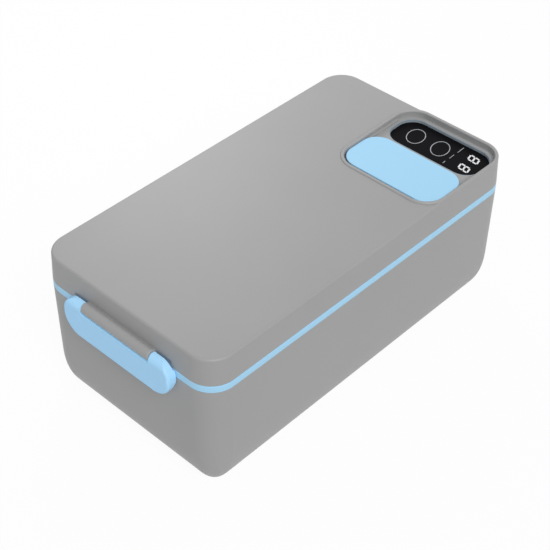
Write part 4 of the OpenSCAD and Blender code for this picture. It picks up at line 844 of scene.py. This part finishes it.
# ---- Screws and feet ----
def screw_tree():
    """Cross-head screws at points: a flat head whose outer face is at the point, and a shank behind it."""
    cross_length, cross_width, cross_depth = 1.15, 0.28, 1.2
    tree = bpy.data.node_groups.new("cross_head_screws", "GeometryNodeTree")
    tree.interface.new_socket("Places", in_out="INPUT", socket_type="NodeSocketGeometry")
    for label in ("Head radius", "Head height", "Shank radius", "Shank length", "Turn"):
        tree.interface.new_socket(label, in_out="INPUT", socket_type="NodeSocketFloat")
    tree.interface.new_socket("Finish", in_out="INPUT", socket_type="NodeSocketMaterial")
    tree.interface.new_socket("Screws", in_out="OUTPUT", socket_type="NodeSocketGeometry")
    given = add(tree, "NodeGroupInput").outputs

    def times(socket, factor):
        return add(tree, "ShaderNodeMath", {0: socket, 1: factor}, operation="MULTIPLY").outputs[0]

    def lifted(mesh, height):
        lift = add(tree, "ShaderNodeCombineXYZ", {"Z": height})
        moved = {"Geometry": mesh, "Translation": lift.outputs[0]}
        return add(tree, "GeometryNodeTransform", moved).outputs[0]

    def cylinder(vertices, radius, depth):
        sizes = {"Vertices": vertices, "Radius": radius, "Depth": depth}
        return add(tree, "GeometryNodeMeshCylinder", sizes).outputs["Mesh"]

    head = cylinder(32, given["Head radius"], given["Head height"])
    head = lifted(head, times(given["Head height"], 0.5))
    slots = []
    for long_axis, short_axis in (("X", "Y"), ("Y", "X")):
        size = add(tree, "ShaderNodeCombineXYZ", {
            long_axis: times(given["Head radius"], cross_length),
            short_axis: times(given["Head radius"], cross_width),
            "Z": times(given["Head height"], cross_depth),
        })
        slots.append(add(tree, "GeometryNodeMeshCube", {"Size": size.outputs[0]}).outputs["Mesh"])
    cut = add(tree, "GeometryNodeMeshBoolean", {"Mesh 1": head, "Mesh 2": slots}, operation="DIFFERENCE")
    shank = cylinder(20, given["Shank radius"], given["Shank length"])
    middle = add(tree, "ShaderNodeMath", {
        0: given["Head height"], 1: times(given["Shank length"], 0.5),
    }, operation="ADD").outputs[0]
    whole = add(tree, "GeometryNodeJoinGeometry", {
        "Geometry": [cut.outputs["Mesh"], lifted(shank, middle)],
    })
    turn = add(tree, "ShaderNodeCombineXYZ", {"X": given["Turn"]})
    spread = add(tree, "GeometryNodeInstanceOnPoints", {
        "Points": given["Places"], "Instance": whole.outputs[0], "Rotation": turn.outputs[0],
    })
    real = add(tree, "GeometryNodeRealizeInstances", {"Geometry": spread.outputs[0]})
    coated = add(tree, "GeometryNodeSetMaterial", {
        "Geometry": real.outputs[0], "Material": given["Finish"],
    })
    add(tree, "NodeGroupOutput", {"Screws": coated.outputs[0]})
    return tree


def make_screws(tree, name, places, turn, shank, body, cad_name):
    """Grows screws on points with the tree, and keeps them as a plain mesh."""
    mesh = bpy.data.meshes.new(name)
    mesh.from_pydata([Vector(p) * MM for p in places], [], [])
    obj = placed(name, mesh)
    sizes = {
        "Head radius": 2.8 * MM, "Head height": 1.0 * MM, "Shank radius": 1.4 * MM,
        "Shank length": shank * MM, "Turn": turn, "Finish": zinc_steel,
    }
    mod = obj.modifiers.new("screws", "NODES")
    mod.node_group = tree
    for socket in tree.interface.items_tree:
        if socket.name in sizes:
            mod[socket.identifier] = sizes[socket.name]
    settle(obj)
    soften(obj, 0.18, 2, 50)
    finish_piece(obj, body, zinc_steel, (cad_name,), 40)


def make_all_screws():
    """The bottom cover's and the liner's screws look down, the collar's look up."""
    tree = screw_tree()
    bottom = [(x, y, 1.0) for x, y in BASE_SCREWS]
    make_screws(tree, "bottom_cross_screws", bottom, 0.0, 5.5, "base", "bottom_screws")
    collar = [(x, y, BAND_TOP - 0.2) for x, y in COLLAR_SCREWS]
    make_screws(tree, "collar_cross_screws", collar, math.pi, 14.2, "base", "collar_screws")
    liner = [(x, y, LINER_Z) for x, y in LID_SCREWS]
    make_screws(tree, "liner_cross_screws", liner, 0.0, 6.6, "lid", "lid_screws")


def make_feet():
    """Four rubber feet, each with a moulded groove round its sole."""
    section = [(6.4, 2.4), (6.5, 2.2), (6.5, 0.5), (6.0, 0.0)]
    section += [(4.9, 0.0), (4.6, 0.45), (4.1, 0.45), (3.8, 0.0)]
    feet = solid("rubber_soles", *[turned(x, y, section, 40) for x, y in FEET])
    finish_piece(feet, "base", rubber_black, ("rubber_feet",))


make_tub()
make_collar()
make_container()
make_lid()
make_latch()
make_cover()
make_panel()
make_marks()
make_inner_lid()
make_seal()
make_all_screws()
make_feet()


# ---- Floor, light and camera ----
def seen_directly(tree):
    """1 on rays that show a surface, straight or through a reflection, and 0 on those that light others."""
    path = add(tree, "ShaderNodeLightPath").outputs
    seen = add(tree, "ShaderNodeMath", {
        0: path["Is Camera Ray"], 1: path["Is Glossy Ray"],
    }, operation="MAXIMUM")
    return add(tree, "ShaderNodeMath", {
        0: seen.outputs[0], 1: path["Is Transmission Ray"],
    }, operation="MAXIMUM").outputs[0]


def make_floor():
    """A sheet that looks almost white with a faint shadow, but lights the box only as grey paint would."""
    half, thick, glow_share = 4000, 20, 0.9
    floor = solid("studio_floor", box((-half, -half, -thick), (half, half, 0)))
    mat, tree = new_material("pale_studio_floor")
    paint = add(tree, "ShaderNodeBsdfDiffuse", {"Color": tone("#cfcfcf")})
    glow = add(tree, "ShaderNodeEmission", {"Color": tone("#ffffff"), "Strength": 1.04})
    share = add(tree, "ShaderNodeMath", {0: seen_directly(tree), 1: glow_share}, operation="MULTIPLY")
    close(tree, add(tree, "ShaderNodeMixShader", {
        0: share.outputs[0], 1: paint.outputs[0], 2: glow.outputs[0],
    }))
    floor.data.materials.append(mat)


def make_world():
    """A white room that is seen at full brightness and lights the box at 0.39 of it."""
    world = bpy.data.worlds.new("studio")
    bpy.context.scene.world = world
    world.use_nodes = True
    tree = world.node_tree
    tree.nodes.clear()
    strength = add(tree, "ShaderNodeMapRange", {
        "Value": seen_directly(tree), "To Min": 0.39, "To Max": 1.0,
    })
    sky = add(tree, "ShaderNodeBackground", {
        "Color": tone("#ffffff"), "Strength": strength.outputs["Result"],
    })
    add(tree, "ShaderNodeOutputWorld", {"Surface": sky.outputs[0]})


def make_sun(name, towards, strength, angle):
    """A sun lamp, with the direction towards it and its width in degrees."""
    lamp = bpy.data.lights.new(name, "SUN")
    lamp.energy = strength
    lamp.angle = math.radians(angle)
    placed(name, lamp).rotation_euler = Vector(towards).to_track_quat("Z", "Y").to_euler()


def make_softbox(name, place, aim, watts, size):
    """A square soft light at a place, aimed at a point, all in millimetres."""
    lamp = bpy.data.lights.new(name, "AREA")
    lamp.energy = watts
    lamp.size = size * MM
    obj = placed(name, lamp)
    obj.location = Vector(place) * MM
    obj.rotation_euler = (Vector(place) - Vector(aim)).to_track_quat("Z", "Y").to_euler()


def make_camera():
    """The photograph's own camera, solved from the outline: 92 mm lens, 0.8 m away, 40 degrees up."""
    frame_px, focal_px, shift_px, sensor = 550, 1398.24, (18.266, -43.151), 36.0
    right = Vector((0.720518, 0.693437, 0.0))
    up = Vector((-0.442845, 0.460140, 0.769519))
    back = Vector((0.533613, -0.554452, 0.638623))
    camera = bpy.data.cameras.new("camera")
    camera.sensor_width = sensor
    camera.lens = sensor * focal_px / frame_px
    camera.shift_x = shift_px[0] / frame_px
    camera.shift_y = shift_px[1] / frame_px
    camera.clip_start = 0.01
    place = Matrix((right, up, back)).transposed().to_4x4()
    place.translation = Vector((392.18, -428.32, 552.95)) * MM
    obj = placed("camera", camera)
    obj.matrix_world = place
    bpy.context.scene.camera = obj


make_floor()
make_world()
make_sun("front_key", (0.62, -0.325, 0.715), 1.72, 30)
make_softbox("back_light", (-311, 191, 348), (-60, -30, 93), 0.38, 170)
make_camera()
bpy.context.scene.view_settings.view_transform = "Standard"
